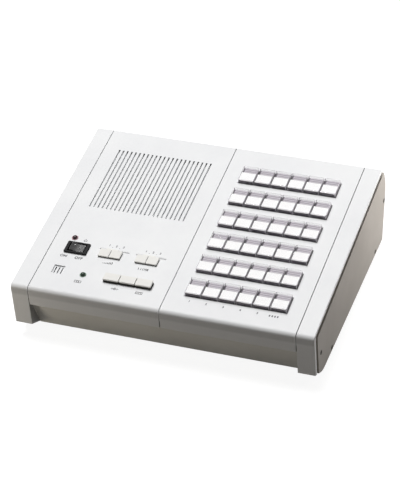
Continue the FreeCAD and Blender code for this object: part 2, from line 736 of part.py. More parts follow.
def base_pan():
    """The open pan between the end caps, with lips behind the skirts of the panels."""
    body = new_body("base_pan", CASE)
    split = "rear_split - seam"
    floor = "base_lift + wall"
    front_in = "wall * front_stretch"
    rear_in = "wall / cos(lean_deg)"
    profile = sketch(body, "YZ_Plane", "profile")
    outline(profile, [
        ("foot_setback", "base_lift"), ("lip_setback", "skirt_z"), ("lip_setback", "skirt_z + lip"),
        ("rear_lip_y", "rear_split + lip"), ("rear_lip_y", split),
        (f"base_depth + ({split}) * tan(lean_deg)", split),
        ("base_depth + base_lift * tan(lean_deg)", "base_lift")])
    pad(body, profile, "inner_half * 2", midplane=True)
    above = "rear_split + lip * 2"
    step = f"{split} - wall"
    cavity = sketch(body, "YZ_Plane", "cavity")
    outline(cavity, [
        (f"foot_setback - wall * front_run + {front_in}", floor), (f"lip_setback + {front_in}", "skirt_z"),
        (f"lip_setback + {front_in}", above), ("rear_lip_y - wall", above), ("rear_lip_y - wall", step),
        (f"base_depth + ({step}) * tan(lean_deg) - {rear_in}", step),
        (f"base_depth + ({floor}) * tan(lean_deg) - {rear_in}", floor)])
    pocket(body, cavity, "(inner_half - wall) * 2", midplane=True)
    for side in (-1, 1):
        right = side > 0
        blocks = sketch(body, "YZ_Plane", "screw_blocks", frame(z=f"{side} * inner_half"))
        for y, z in SIDE_SCREWS:
            circle(blocks, y, z, "boss_radius")
        pad(body, blocks, "block_reach", reverse=right)
        threads = sketch(body, "YZ_Plane", "side_threads", frame(z=f"{side} * inner_half"))
        for y, z in SIDE_SCREWS:
            circle(threads, y, z, "pilot_radius")
        pocket(body, threads, "block_reach", reverse=not right)
    for name, radius, low, high, make in (
            ("floor_bosses", "floor_boss_radius", "base_lift", "base_lift + floor_boss", pad),
            ("floor_holes", "clear_radius", "base_lift", "base_lift + floor_boss", pocket),
            ("floor_sinks", "sink_radius", "base_lift", "base_lift + sink_depth", pocket)):
        drawing = sketch(body, "XY_Plane", name, frame(z=low))
        for side in (-1, 1):
            for x, y in posts():
                circle(drawing, f"{side} * ({x})", y, radius)
        make(body, drawing, f"({high}) - ({low})", reverse=make is pocket)
    back_cut(body, "line_socket_hole", "socket_x", "socket_width")
    back_cut(body, "jack_hole_cut", "jack_x", "jack_width")
    return body


def rubber_feet():
    """Four tapered feet under the pan."""
    feet = [taper(x, y, ("-foot_height", "base_lift"), "foot_tip_radius", "foot_radius")
            for x in ("foot_inset - inner_half", "inner_half - foot_inset")
            for y in ("foot_front", "base_depth - foot_rear")]
    publish(group(*feet), "rubber_feet", CASE)


def screw(place):
    """One screw, its head above and its shaft below the head's seat at the place."""
    head = rod("0", "0", ("0", "head_height"), "head_radius")
    shaft = rod("0", "0", ("-screw_length", "head_height / 2"), "screw_radius")
    return seated(fuse(head, shaft), place)


def case_screws():
    """Eight side screws and eight floor screws, all alike."""
    screws = []
    for side in (-1, 1):
        for y, z in SIDE_SCREWS:
            seat = f"{side} * (plate_face - sink_depth)"
            screws.append(screw(frame(seat, y, z, f"{side} * 90", "0; 1; 0")))
        for x, y in posts():
            screws.append(screw(frame(f"{side} * ({x})", y, "base_lift + sink_depth", "180")))
    publish(group(*screws), "case_screws", CASE)


# ---------------------------------------------------------------- keys and switches

def station_key(row, column):
    """A clear cover over a label card on a carrier whose stem works the switch."""
    x = f"key_left + key_pitch * {column}"
    s = f"key_front + row_pitch * {row}"
    inside = "cover_wall + key_fit"

    def span(start, size, inset):
        return f"{start} + {inset}", f"{start} + {size} - ({inset})"

    outer = block(span(x, "key_width", "0"), span(s, "key_length", "0"), ("-key_skirt", "key_height"))
    inner = block(span(x, "key_width", "cover_wall"), span(s, "key_length", "cover_wall"),
                  ("-key_skirt", "key_height - cover_wall"))
    card = block(span(x, "key_width", inside), span(s, "key_length", inside),
                 ("card_top - card_thick", "card_top"))
    carrier = block(span(x, "key_width", inside), span(s, "key_length", inside),
                    ("-carrier_low", "card_top - card_thick"))
    stem = block(centred(f"{x} + key_width / 2", "stem_size"),
                 centred(f"{s} + key_length / 2", "stem_size"),
                 ("-switch_drop - stem_entry", "0"))
    key = group(cut(outer, inner), card, fuse(carrier, stem))
    publish(key, f"station_key_{row + 1}_{column + 1}", DECK)


def function_key(index):
    """An opaque key cap on a stem."""
    x = f"bank_left + bank_pitch * {index}"
    cap = block((x, f"{x} + bank_width"), ("bank_front", "bank_front + bank_length"),
                ("-carrier_low", "bank_height"))
    stem = block(centred(f"{x} + bank_width / 2", "stem_size"),
                 centred("bank_front + bank_length / 2", "stem_size"), ("-switch_drop - stem_entry", "0"))
    publish(fuse(cap, stem), f"function_key_{index + 1}", DECK)


def switch_housing(x, s):
    """A switch housing with a well for the key stem."""
    body = block(centred(x, "switch_size"), centred(s, "switch_size"), ("-board_drop", "-switch_drop"))
    well = block(centred(x, "stem_size + 2 * stem_gap"), centred(s, "stem_size + 2 * stem_gap"),
                 ("-switch_drop - stem_entry - key_travel - stem_gap", "0"))
    return cut(body, well)


def key_switches():
    """One switch under each station key and function key."""
    housings = [switch_housing(f"key_left + key_pitch * {column} + key_width / 2",
                               f"key_front + row_pitch * {row} + key_length / 2")
                for row in range(KEY_ROWS) for column in range(KEY_COLUMNS)]
    housings += [switch_housing(f"bank_left + bank_pitch * {index} + bank_width / 2",
                                "bank_front + bank_length / 2") for index in range(BANK_KEYS)]
    publish(group(*housings), "key_switches", DECK)


def circuit_board(x, s, places):
    """A board hung from the stakes of its panel."""
    height = ("-board_drop - board_thick", "-board_drop")
    holes = [rod(hole_x, hole_s, height, "stake_radius + stake_gap") for hole_x, hole_s in places]
    return cut(block(x, s, height), *holes)


def circuit_boards():
    """The board under the station keys and the board under the left-hand controls."""
    last_column = "key_left + key_pitch * (key_columns - 1)"
    last_row = "key_front + row_pitch * (key_rows - 1)"
    key_board = circuit_board(("key_left - board_margin", f"{last_column} + key_width + board_margin"),
                              ("key_front - board_margin", f"{last_row} + key_length + board_margin"),
                              key_supports())
    control_board = circuit_board(("control_board_left", "control_board_right"),
                                  ("control_board_front", "control_board_rear"), control_supports())
    publish(group(key_board, control_board), "circuit_boards", DECK)


# ---------------------------------------------------------------- controls and sound

def rocker_bezel():
    """The rocker switch's body, its flange resting on the deck."""
    def square(width, length, z):
        return block(centred("rocker_x", width), centred("rocker_s", length), z)

    flange = square("bezel_width", "bezel_length", ("0", "bezel_height"))
    body = square("bezel_width - 2 * (bezel_lap + bezel_fit)", "bezel_length - 2 * (bezel_lap + bezel_fit)",
                  ("-bezel_drop", "bezel_height / 2"))
    tabs = [block(centred(f"rocker_x + {side} * well_width / 4", "tab_thick"),
                  centred("rocker_s", "tab_size"), ("-board_drop", "-bezel_drop / 2")) for side in (-1, 1)]
    well = square("well_width", "well_length", ("-well_drop", "bezel_height"))
    bearing = doc.addObject("Part::Cylinder", "bearing")
    bind(bearing, "Radius", "pivot_radius + pivot_gap")
    bind(bearing, "Height", "rocker_length + 2 * (pivot_reach + pivot_gap)")
    bind(bearing, "Placement", frame("rocker_x", "rocker_s + rocker_length / 2 + pivot_reach + pivot_gap",
                                     "-pivot_drop", "90"))
    publish(cut(fuse(flange, body, *tabs), well, bearing), "rocker_bezel", DECK)


def power_rocker():
    """The rocker, lying on its right stop. Its own XZ plane is square to the pivot."""
    body = new_body("power_rocker", f"{DECK} * " + frame("rocker_x", "rocker_s", "-pivot_drop",
                                                         "rocker_tilt", "0; 1; 0"))
    across, up = "rocker_radius * cos({0})", "rocker_radius * sin({0})"
    top = (across.format("rocker_rise"), up.format("rocker_rise"))
    foot = (across.format("rocker_fall"), f"-{up.format('rocker_fall')}")
    valley = f"{top[1]} - {top[0]} * tan(rocker_tilt)"
    arc = ("rocker_radius", "0", "0")
    profile = sketch(body, "XZ_Plane", "profile")
    outline(profile, [("0", valley), (top[0], top[1], arc), foot, (f"-{foot[0]}", foot[1], arc),
                      (f"-{top[0]}", top[1])])
    pad(body, profile, "rocker_length", midplane=True)
    pins = sketch(body, "XZ_Plane", "pins")
    circle(pins, "0", "0", "pivot_radius")
    pad(body, pins, "rocker_length + 2 * pivot_reach", midplane=True)


def slide_knob(label, track):
    """A flat knob whose rear tongue turns down into the track as the lever."""
    x = f"slider_mid + slider_pitch * {track} + slider_rest"
    low = "knob_lift"
    lever_rear = "track_s + lever_thick / 2"
    knob = block(centred(x, "knob_width"), ("knob_front", "knob_front + knob_length"),
                 (low, f"{low} + knob_thick"))
    tongue = block(centred(x, "tongue_width"), ("knob_front + knob_length / 2", lever_rear),
                   (low, f"{low} + tongue_thick"))
    lever = block(centred(x, "tongue_width"), ("track_s - lever_thick / 2", lever_rear),
                  ("-board_drop + pot_height - lever_entry", f"{low} + tongue_thick"))
    publish(fuse(knob, tongue, lever), label, DECK)


def slide_controls():
    """The two slide control bodies under the deck, slotted for the levers."""
    bodies = []
    for track in range(2):
        x = f"slider_mid + slider_pitch * {track}"
        shell = block(centred(x, "pot_length"), centred("track_s", "pot_width"),
                      ("-board_drop", "-board_drop + pot_height"))
        slot = block(centred(x, "pot_length - 2 * pot_wall"),
                     centred("track_s", "lever_thick + 2 * stem_gap"),
                     ("-board_drop + pot_height - pot_slot_depth", "0"))
        bodies.append(cut(shell, slot))
    publish(group(*bodies), "slide_controls", DECK)


def indicator_lamp(name):
    """A domed lamp with a flange under the deck, two leads to the board and a collar on the deck."""
    x, s = f"{name}_x", f"{name}_s"
    seat = "-wall - lamp_flange_height"
    barrel = rod(x, s, (seat, "lamp_stand - lamp_radius"), "lamp_radius")
    flange = rod(x, s, (seat, "-wall"), "lamp_flange")
    dome = doc.addObject("Part::Sphere", "dome")
    bind(dome, "Radius", "lamp_radius")
    bind(dome, "Placement", frame(x, s, "lamp_stand - lamp_radius"))
    leads = [block(centred(f"{x} + {side} * lead_pitch / 2", "lead_size"), centred(s, "lead_size"),
                   ("-board_drop", "-wall - lamp_flange_height / 2")) for side in (-1, 1)]
    height = ("0", "collar_height")
    collar = cut(rod(x, s, height, "collar_radius"), rod(x, s, height, "lamp_radius + lamp_gap"))
    publish(group(fuse(barrel, flange, dome, *leads), collar), name, DECK)


def microphone():
    """The capsule under the sound slots."""
    publish(group(rod("mic_x", "mic_s", ("-wall - capsule_height", "-wall"), "capsule_radius")),
            "microphone", DECK)


def loudspeaker():
    """Basket, paper cone and magnet, with the rim against the underside of the deck."""
    place = ("cone_x", "cone_s")
    seat = "-wall"
    back = f"{seat} - basket_rim - basket_depth"
    rim = rod(*place, (f"{seat} - basket_rim", seat), "basket_radius")
    shell = taper(*place, (back, f"{seat} - basket_rim"), "basket_neck", "basket_radius - basket_rim")
    hollow = taper(*place, (f"{back} + basket_wall", seat), "basket_neck - basket_wall",
                   "basket_radius - basket_rim - basket_wall")
    edge = "basket_radius - 2 * basket_rim - basket_wall"
    low = f"{seat} - basket_rim - cone_depth"
    cone = taper(*place, (low, f"{seat} - basket_rim"), "cone_neck", edge)
    air = taper(*place, (f"{low} + cone_wall", f"{seat} - basket_rim + cone_wall"), "cone_neck", edge)
    magnet = rod(*place, (f"{back} - magnet_height", back), "magnet_radius")
    publish(group(cut(fuse(rim, shell), hollow), cut(cone, air), magnet), "loudspeaker", DECK)


def rear_sockets():
    """The line socket and the power jack in the leaning back. Their z runs up the back."""
    depth = ("-socket_depth", "socket_stand")
    height = ("socket_low", "socket_low + socket_height")
    middle = "socket_low + socket_height / 2"
    shell = block(centred("socket_x", "socket_width"), depth, height)
    mouth = block(centred("socket_x", "mouth_width"), ("socket_stand - mouth_depth", "socket_stand"),
                  centred(middle, "mouth_height"))
    line_socket = cut(shell, mouth)
    jack = block(centred("jack_x", "jack_width"), depth, height)
    bore = doc.addObject("Part::Cylinder", "bore")
    pin = doc.addObject("Part::Cylinder", "pin")
    for cylinder, radius in ((bore, "jack_hole"), (pin, "jack_pin")):
        bind(cylinder, "Radius", radius)
        bind(cylinder, "Height", "mouth_depth")
        bind(cylinder, "Placement", frame("jack_x", "socket_stand", middle, "90"))
    publish(group(line_socket, fuse(cut(jack, bore), pin)), "rear_sockets", BACK)


# ---------------------------------------------------------------- the whole station

KEY_ROWS = int(number("key_rows"))
KEY_COLUMNS = int(number("key_columns"))
BANK_KEYS = int(number("bank_keys"))

base_pan()
for prefix, direction in (("left", -1), ("right", 1)):
    end_cap(prefix + "_end_cap", direction)
    side_plate(prefix + "_side_plate", direction)
control_panel()
key_panel()
rubber_feet()
case_screws()
for key_row in range(KEY_ROWS):
    for key_column in range(KEY_COLUMNS):
        station_key(key_row, key_column)
for bank_index in range(BANK_KEYS):
    function_key(bank_index)
key_switches()
circuit_boards()
rocker_bezel()
power_rocker()
slide_knob("volume_slide_knob", 0)
slide_knob("tone_slide_knob", 1)
slide_controls()
indicator_lamp("power_lamp")
indicator_lamp("busy_lamp")
microphone()
loudspeaker()
rear_sockets()
doc.recompute()

for item in doc.Objects:
    if "Invalid" in item.State or "Error" in item.State:
        raise RuntimeError(f"{item.Name} failed: {item.State}")
for item in SUB_PARTS:
    if item.Shape.isNull() or not item.Shape.isValid() or not item.Shape.Solids:
        raise RuntimeError(f"{item.Label} has no valid solid")

os.makedirs("parts", exist_ok=True)
for item in SUB_PARTS:
    item.Shape.exportStep(f"parts/{item.Label}.step")
print(len(SUB_PARTS), "sub-parts")
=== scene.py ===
"""Looks of a desk intercom master station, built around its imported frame.

Pieces are shaped in the millimetres of the casing's own working planes and then laid in the
metres of the frame. Finishes are procedural and read object coordinates.
"""

import logging
import math
from dataclasses import dataclass, field, replace
from enum import Enum
from typing import Iterable

import bmesh
import bpy
from mathutils import Matrix, Vector


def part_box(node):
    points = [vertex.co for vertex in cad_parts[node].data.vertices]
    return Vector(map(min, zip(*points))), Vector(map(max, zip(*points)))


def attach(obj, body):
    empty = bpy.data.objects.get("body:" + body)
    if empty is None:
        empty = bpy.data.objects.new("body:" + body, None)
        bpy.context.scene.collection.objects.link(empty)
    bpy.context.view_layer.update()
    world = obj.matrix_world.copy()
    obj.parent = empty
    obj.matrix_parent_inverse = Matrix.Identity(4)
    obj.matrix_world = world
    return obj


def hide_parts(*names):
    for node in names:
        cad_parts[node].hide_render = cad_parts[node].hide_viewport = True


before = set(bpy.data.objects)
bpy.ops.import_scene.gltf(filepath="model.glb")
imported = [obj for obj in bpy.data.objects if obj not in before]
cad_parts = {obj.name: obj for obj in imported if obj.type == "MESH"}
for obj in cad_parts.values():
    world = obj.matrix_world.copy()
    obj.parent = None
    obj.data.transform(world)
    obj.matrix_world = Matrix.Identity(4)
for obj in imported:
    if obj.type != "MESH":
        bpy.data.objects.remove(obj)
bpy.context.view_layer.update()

MM = 0.001
MERGE = 1e-4
FOOT_HEIGHT = 3.0
FRONT_HEIGHT = 56.9
BASE_DEPTH = 228.0
SLOPE = math.radians(6.7)
LEAN = math.radians(15.0)
SMOOTH_ANGLE = math.radians(35.0)

Point = tuple[float, float, float]
Colour = tuple[float, float, float]

X_WAY = Vector((1, 0, 0))
Y_WAY = Vector((0, 1, 0))
UP = Vector((0, 0, 1))

log = logging.getLogger("desk_intercom")


def tone(red: int, green: int, blue: int) -> Colour:
    """Turns a screen colour, each part 0 to 255, into the linear colour that shaders take."""
    shares = [value / 255 for value in (red, green, blue)]
    return tuple(s / 12.92 if s <= 0.04045 else ((s + 0.055) / 1.055) ** 2.4 for s in shares)


# ---------------------------------------------------------------- working planes

@dataclass(frozen=True)
class Plane:
    """A working plane of the casing: x to the right, y along it and z out of it, in millimetres."""

    matrix: Matrix

    def turned(self, origin: Point, angle: float, axis: str = "X") -> "Plane":
        """A plane that stands on this one at an origin, turned about an axis by radians."""
        return Plane(self.matrix @ Matrix.Translation(origin) @ Matrix.Rotation(angle, 4, axis))

    def extent(self, *nodes: str) -> tuple[Vector, Vector]:
        """Measures nodes of the frame on this plane.

        Args:
            nodes: The nodes' names.

        Returns:
            The lowest and the highest corner of them all.
        """
        to_plane = self.matrix.inverted()
        points = [to_plane @ vertex.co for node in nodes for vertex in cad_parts[node].data.vertices]
        return (Vector(min(p[axis] for p in points) for axis in range(3)),
                Vector(max(p[axis] for p in points) for axis in range(3)))


FRONT_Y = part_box("left_end_cap")[0].y
CASE = Plane(Matrix.Translation((0, FRONT_Y, FOOT_HEIGHT * MM)) @ Matrix.Scale(MM, 4))
DECK = CASE.turned((0, 0, FRONT_HEIGHT), SLOPE)
BACK = CASE.turned((0, BASE_DEPTH, 0), -LEAN)


# ---------------------------------------------------------------- shader building

class Signal:
    """A shader value that arithmetic can be written with."""

    def __init__(self, recipe: "Recipe", socket: bpy.types.NodeSocket) -> None:
        """Wraps an output socket of one of the recipe's nodes."""
        self.recipe = recipe
        self.socket = socket

    def __add__(self, other: "Operand") -> "Signal":
        """This value plus another."""
        return self.recipe.maths("ADD", self, other)

    def __sub__(self, other: "Operand") -> "Signal":
        """This value less another."""
        return self.recipe.maths("SUBTRACT", self, other)

    def __rsub__(self, other: "Operand") -> "Signal":
        """Another value less this one."""
        return self.recipe.maths("SUBTRACT", other, self)

    def __mul__(self, other: "Operand") -> "Signal":
        """This value times another."""
        return self.recipe.maths("MULTIPLY", self, other)

    __radd__ = __add__
    __rmul__ = __mul__

    def __pow__(self, power: float) -> "Signal":
        """This value to a power."""
        return self.recipe.maths("POWER", self, power)

    def __abs__(self) -> "Signal":
        """This value without its sign."""
        return self.recipe.maths("ABSOLUTE", self)

    def __mod__(self, other: "Operand") -> "Signal":
        """What is left of this value after whole steps of another, never negative."""
        return self.recipe.maths("FLOORED_MODULO", self, other)

    def rising(self, low: float, high: float) -> "Signal":
        """A mask that rises smoothly from 0 at low to 1 at high, or falls if high is the lower."""
        node = self.recipe.add("MapRange", {"interpolation_type": "SMOOTHSTEP"},
                               {"Value": self, "From Min": low, "From Max": high})
        return Signal(self.recipe, node.outputs["Result"])


Operand = Signal | float


class Recipe:
    """A material's node tree while it is being put together."""

    def __init__(self, name: str) -> None:
        """Starts an empty material.

        Args:
            name: What it is called.
        """
        self.material = bpy.data.materials.new(name)
        self.material.use_nodes = True
        self.tree = self.material.node_tree
        self.tree.nodes.clear()
        self.places = self.add("TexCoord").outputs["Object"]

    def add(self, kind: str, settings: dict | None = None, sockets: dict | None = None) -> bpy.types.Node:
        """Adds a node.

        Args:
            kind: The node's type, without ShaderNode.
            settings: Its settings, set before its sockets.
            sockets: What its inputs hold, by name or number: values, signals or output sockets.

        Returns:
            The node.
        """
        node = self.tree.nodes.new("ShaderNode" + kind)
        for name, value in (settings or {}).items():
            setattr(node, name, value)
        for name, value in (sockets or {}).items():
            self.feed(node.inputs[name], value)
        return node

    def feed(self, socket: bpy.types.NodeSocket, value: object) -> None:
        """Links something to an input, or sets the input's own value.

        Args:
            socket: The input.
            value: A signal, an output socket, a colour without its alpha, or a number.
        """
        if isinstance(value, Signal):
            value = value.socket
        if isinstance(value, bpy.types.NodeSocket):
            self.tree.links.new(value, socket)
        elif socket.type == "RGBA":
            socket.default_value = (*value, 1.0)
        else:
            socket.default_value = value

    def maths(self, operation: str, *operands: Operand) -> Signal:
        """The result of a Math node on some operands."""
        node = self.add("Math", {"operation": operation}, dict(enumerate(operands)))
        return Signal(self, node.outputs[0])

    def along(self, axis: str) -> Signal:
        """The place along an axis of the frame, in millimetres."""
        split = self.add("SeparateXYZ", {}, {0: self.places})
        return Signal(self, split.outputs[axis]) * (1 / MM)

    def outward(self, axis: str) -> Signal:
        """How far the surface looks along an axis, from -1 to 1."""
        split = self.add("SeparateXYZ", {}, {0: self.add("TexCoord").outputs["Normal"]})
        return Signal(self, split.outputs[axis])

    def noise(self, size: float, detail: float = 2.0, places: object = None) -> Signal:
        """A noise around 0.5 with features of that many millimetres, on the object's or other coordinates."""
        node = self.add("TexNoise", {}, {"Vector": places or self.places, "Scale": 1 / (size * MM),
                                         "Detail": detail, "Roughness": 0.55})
        return Signal(self, node.outputs["Fac"])

    def cells(self, size: float) -> Signal:
        """The distance to the nearest point of a scatter, its points that many millimetres apart."""
        node = self.add("TexVoronoi", {}, {"Vector": self.places, "Scale": 1 / (size * MM)})
        return Signal(self, node.outputs["Distance"])

    def stretched(self, x: float, y: float, z: float) -> bpy.types.NodeSocket:
        """The object's coordinates, scaled by a factor on each axis."""
        node = self.add("Mapping", {}, {"Vector": self.places, "Scale": (x, y, z)})
        return node.outputs["Vector"]

    def blend(self, first: object, second: object, share: Operand) -> bpy.types.NodeSocket:
        """Mixes two colours, the second by the share."""
        node = self.add("Mix", {"data_type": "RGBA"}, {0: share, 6: first, 7: second})
        return node.outputs[2]

    def bump(self, height: Signal, depth: float, below: object = None) -> bpy.types.NodeSocket:
        """Adds relief.

        Args:
            height: The relief, about 0 to 1.
            depth: The relief's depth, in millimetres.
            below: The normal of a relief under this one, if there is one.

        Returns:
            The bent normal's socket.
        """
        sockets = {"Height": height, "Distance": depth * MM, "Strength": 1.0}
        if below is not None:
            sockets["Normal"] = below
        return self.add("Bump", {}, sockets).outputs[0]

    def principled(self, **sockets: object) -> bpy.types.NodeSocket:
        """Adds a Principled shader, its inputs named with underscores for spaces."""
        named = {name.replace("_", " "): value for name, value in sockets.items()}
        return self.add("BsdfPrincipled", {}, named).outputs[0]

    def combine(self, share: Operand, first: object, second: object) -> bpy.types.NodeSocket:
        """Mixes two shaders, the second by the share."""
        return self.add("MixShader", {}, {0: share, 1: first, 2: second}).outputs[0]

    def show(self, shader: bpy.types.NodeSocket) -> bpy.types.Material:
        """Makes the shader the material's surface."""
        self.add("OutputMaterial", {}, {"Surface": shader})
        return self.material


# ---------------------------------------------------------------- finishes

@dataclass(frozen=True)
class Finish:
    """A surface finish. Each kind says what its shader is."""

    name: str

    def material(self) -> bpy.types.Material:
        """Gives the finish as a material, made when it is first wanted.

        Returns:
            The material.
        """
        title = f"{self.name}_finish"
        known = bpy.data.materials.get(title)
        if known:
            return known
        recipe = Recipe(title)
        return recipe.show(self.surface(recipe))

    def surface(self, recipe: Recipe) -> bpy.types.NodeSocket:
        """Builds the shader in a recipe."""
        raise NotImplementedError


@dataclass(frozen=True)
class Moulding(Finish):
    """A moulded plastic with a slow drift of colour and the fine grain of its mould."""

    colour: Colour
    drift: Colour
    roughness: float = 0.5
    grain: float = 0.45
    depth: float = 0.006
    shine: float = 0.5
    cloud: float = 70.0
    flow: float = 9.0

    def tint(self, recipe: Recipe, share: Signal) -> bpy.types.NodeSocket:
        """The colour, drifted by a share."""
        return recipe.blend(self.colour, self.drift, share)

    def surface(self, recipe: Recipe) -> bpy.types.NodeSocket:
        """Builds the shader: drifted colour, uneven gloss and a sparked grain.

        Args:
            recipe: The material to build it in.

        Returns:
            The shader's socket.
        """
        cloud = recipe.noise(self.cloud, 3.0)
        flow = recipe.noise(self.flow, 2.0)
        grain = recipe.noise(self.grain, 3.0)
        share = cloud.rising(0.35, 0.7) * 0.75 + flow.rising(0.3, 0.75) * 0.25
        normal = recipe.bump(grain, self.depth, recipe.bump(flow, self.depth * 2))
        return recipe.principled(
            Base_Color=self.tint(recipe, share),
            Roughness=(cloud - 0.5) * 0.10 + (grain - 0.5) * 0.12 + self.roughness,
            Normal=normal, Specular_IOR_Level=self.shine)


@dataclass(frozen=True)
class CasingMoulding(Moulding):
    """A casing plastic, with painted shade in its grooves and joints and a painted dark reflection under its
    front edge.
    """

    # The colour below is painted on as shade in grooves and joints and as a dark reflection under the front
    # edge.
    painted_shade: Colour = (0.2, 0.2, 0.2)
    groove: tuple[float, float] = (140.0, 149.6)
    joint: float = 135.0
    joint_top: float = 46.0
    brow: tuple[float, float] = (49.0, 52.0)
    joint_share: float = 0.75
    brow_share: float = 0.26

    def tint(self, recipe: Recipe, share: Signal) -> bpy.types.NodeSocket:
        """Paints shade into the grooves and the low joints, and a dark reflection under the front edge.

        Args:
            recipe: The material to build it in.
            share: How far the colour has drifted.

        Returns:
            The socket of the colour with its painted shade.
        """
        across, height = abs(recipe.along("X")), recipe.along("Z")
        low, high = self.groove
        groove = across.rising(low, low + 0.1) * across.rising(high + 0.1, high)
        below = height.rising(self.joint_top + 2, self.joint_top)
        joint = across.rising(self.joint, self.joint - 0.1) * below
        # Painted shade in the side groove and the low joints; painted dark reflection in the band under the
        # front edge.
        sideways = abs(recipe.outward("X")).rising(0.7, 0.9) * (groove + joint) * self.joint_share
        brow = recipe.outward("Y").rising(-0.8, -0.97) * height.rising(*self.brow) * self.brow_share
        return recipe.blend(super().tint(recipe, share), self.painted_shade, sideways + brow)


@dataclass(frozen=True)
class Paint(Finish):
    """A sprayed paint with orange peel and the odd fleck."""

    colour: Colour
    fleck: Colour
    roughness: float = 0.42
    shine: float = 0.25
    cloud: float = 45.0
    peel: float = 1.6
    fleck_pitch: float = 1.1

    def surface(self, recipe: Recipe) -> bpy.types.NodeSocket:
        """Builds the shader: flecks, cloudy gloss and orange peel.

        Args:
            recipe: The material to build it in.

        Returns:
            The shader's socket.
        """
        cloud = recipe.noise(self.cloud, 3.0)
        peel = recipe.noise(self.peel, 1.0)
        flecks = recipe.cells(self.fleck_pitch).rising(0.16, 0.08) * 0.35
        body = recipe.blend(self.colour, tuple(c * 0.94 for c in self.colour), cloud.rising(0.3, 0.7))
        return recipe.principled(
            Base_Color=recipe.blend(body, self.fleck, flecks),
            Roughness=(cloud - 0.5) * 0.16 + self.roughness, Normal=recipe.bump(peel, 0.012),
            Specular_IOR_Level=self.shine)


@dataclass(frozen=True)
class ClearCover(Finish):
    """Clear acrylic: a faint haze over what lies under it, thicker in its walls, and a painted highlight on
    its rounded edges and upright corners.
    """

    haze: Colour
    tint: Colour
    body: float = 0.01
    wall: float = 0.04
    # edge and corner below are shares of pale haze painted on as a highlight.
    edge: float = 0.75
    corner: float = 0.5
    smear: float = 5.0

    def surface(self, recipe: Recipe) -> bpy.types.NodeSocket:
        """Builds the shader: see-through where met head on, hazy in the walls, a painted highlight on the
        rounded edges and corners, glossy at a slant.

        Args:
            recipe: The material to build it in.

        Returns:
            The shader's socket.
        """
        facing = Signal(recipe, recipe.add("LayerWeight", {}, {"Blend": 0.5}).outputs["Facing"])
        upward = abs(recipe.outward("Z"))
        walls = upward.rising(0.97, 0.85)
        corners = abs(recipe.outward("X") * recipe.outward("Y")).rising(0.1, 0.4)
        # Pale haze painted on the rounded edges and upright corners as a highlight.
        share = walls * (upward.rising(0.1, 0.5) * self.edge + corners * self.corner + self.wall)
        share = facing ** 5 * 0.7 + share + self.body
        smear = recipe.noise(self.smear, 2.0)
        gloss = recipe.principled(Base_Color=self.haze, Roughness=smear * 0.06 + 0.03,
                                  Normal=recipe.bump(smear, 0.01))
        through = recipe.add("BsdfTransparent", {}, {0: self.tint}).outputs[0]
        return recipe.combine(share, through, gloss)


@dataclass(frozen=True)
class Paper(Finish):
    """Uncoated card with short fibres."""

    colour: Colour
    shade: Colour
    fibre: float = 0.35
    cloud: float = 6.0

    def surface(self, recipe: Recipe) -> bpy.types.NodeSocket:
        """Builds the shader: fibres that lie along the card.

        Args:
            recipe: The material to build it in.

        Returns:
            The shader's socket.
        """
        fibres = recipe.noise(self.fibre, 3.0, recipe.stretched(1.0, 3.0, 1.0))
        cloud = recipe.noise(self.cloud, 2.0)
        share = fibres.rising(0.35, 0.8) * 0.5 + cloud.rising(0.3, 0.8) * 0.5
        return recipe.principled(Base_Color=recipe.blend(self.colour, self.shade, share),
                                 Roughness=0.75, Normal=recipe.bump(fibres, 0.01))


@dataclass(frozen=True)
class Lens(Finish):
    """A tinted lamp lens: a dark core, with a painted sheen that pales it where it is seen at a slant."""

    core: Colour
    slant_sheen: Colour
    cloud: float = 1.2

    def surface(self, recipe: Recipe) -> bpy.types.NodeSocket:
        """Builds the shader: deep colour head on, paler at a slant as a painted sheen, under a clear coat.

        Args:
            recipe: The material to build it in.

        Returns:
            The shader's socket.
        """
        slant = recipe.add("LayerWeight", {}, {"Blend": 0.35}).outputs["Facing"]
        cloud = recipe.noise(self.cloud, 1.0)
        # Painted sheen: the colour pales where the lens is seen at a slant.
        share = Signal(recipe, slant) * 0.9 + (cloud - 0.5) * 0.15
        return recipe.principled(Base_Color=recipe.blend(self.core, self.slant_sheen, share),
                                 Roughness=cloud * 0.08 + 0.10, Specular_IOR_Level=0.2,
                                 Coat_Weight=0.3, Coat_Roughness=0.04)


@dataclass(frozen=True)
class Metal(Finish):
    """A plated or blackened metal with fine scratches."""

    colour: Colour
    scratch: Colour
    metallic: float = 1.0
    roughness: float = 0.35
    shine: float = 0.5
    line: float = 0.25
    cloud: float = 3.0

    def surface(self, recipe: Recipe) -> bpy.types.NodeSocket:
        """Builds the shader: scratches that lie along X over a cloudy plating.

        Args:
            recipe: The material to build it in.

        Returns:
            The shader's socket.
        """
        lines = recipe.noise(self.line, 2.0, recipe.stretched(0.08, 1.0, 1.0))
        cloud = recipe.noise(self.cloud, 2.0)
        scratches = lines.rising(0.62, 0.75)
        return recipe.principled(
            Base_Color=recipe.blend(self.colour, self.scratch, scratches * 0.6), Metallic=self.metallic,
            Roughness=(cloud - 0.5) * 0.25 + scratches * 0.1 + self.roughness,
            Normal=recipe.bump(lines, 0.003), Specular_IOR_Level=self.shine)


@dataclass(frozen=True)
class Rubber(Finish):
    """Matt rubber with a dusty bloom low down, where it meets the table."""

    colour: Colour
    bloom: Colour
    bloom_height: float = 3.0
    cloud: float = 2.0
    pore: float = 0.5

    def surface(self, recipe: Recipe) -> bpy.types.NodeSocket:
        """Builds the shader: a bloom that fades with height.

        Args:
            recipe: The material to build it in.

        Returns:
            The shader's socket.
        """
        height = recipe.along("Z")
        cloud = recipe.noise(self.cloud, 3.0)
        share = height.rising(self.bloom_height, 0.0) * cloud.rising(0.3, 0.7)
        return recipe.principled(Base_Color=recipe.blend(self.colour, self.bloom, share),
                                 Roughness=(cloud - 0.5) * 0.1 + 0.82,
                                 Normal=recipe.bump(recipe.noise(self.pore, 3.0), 0.02))


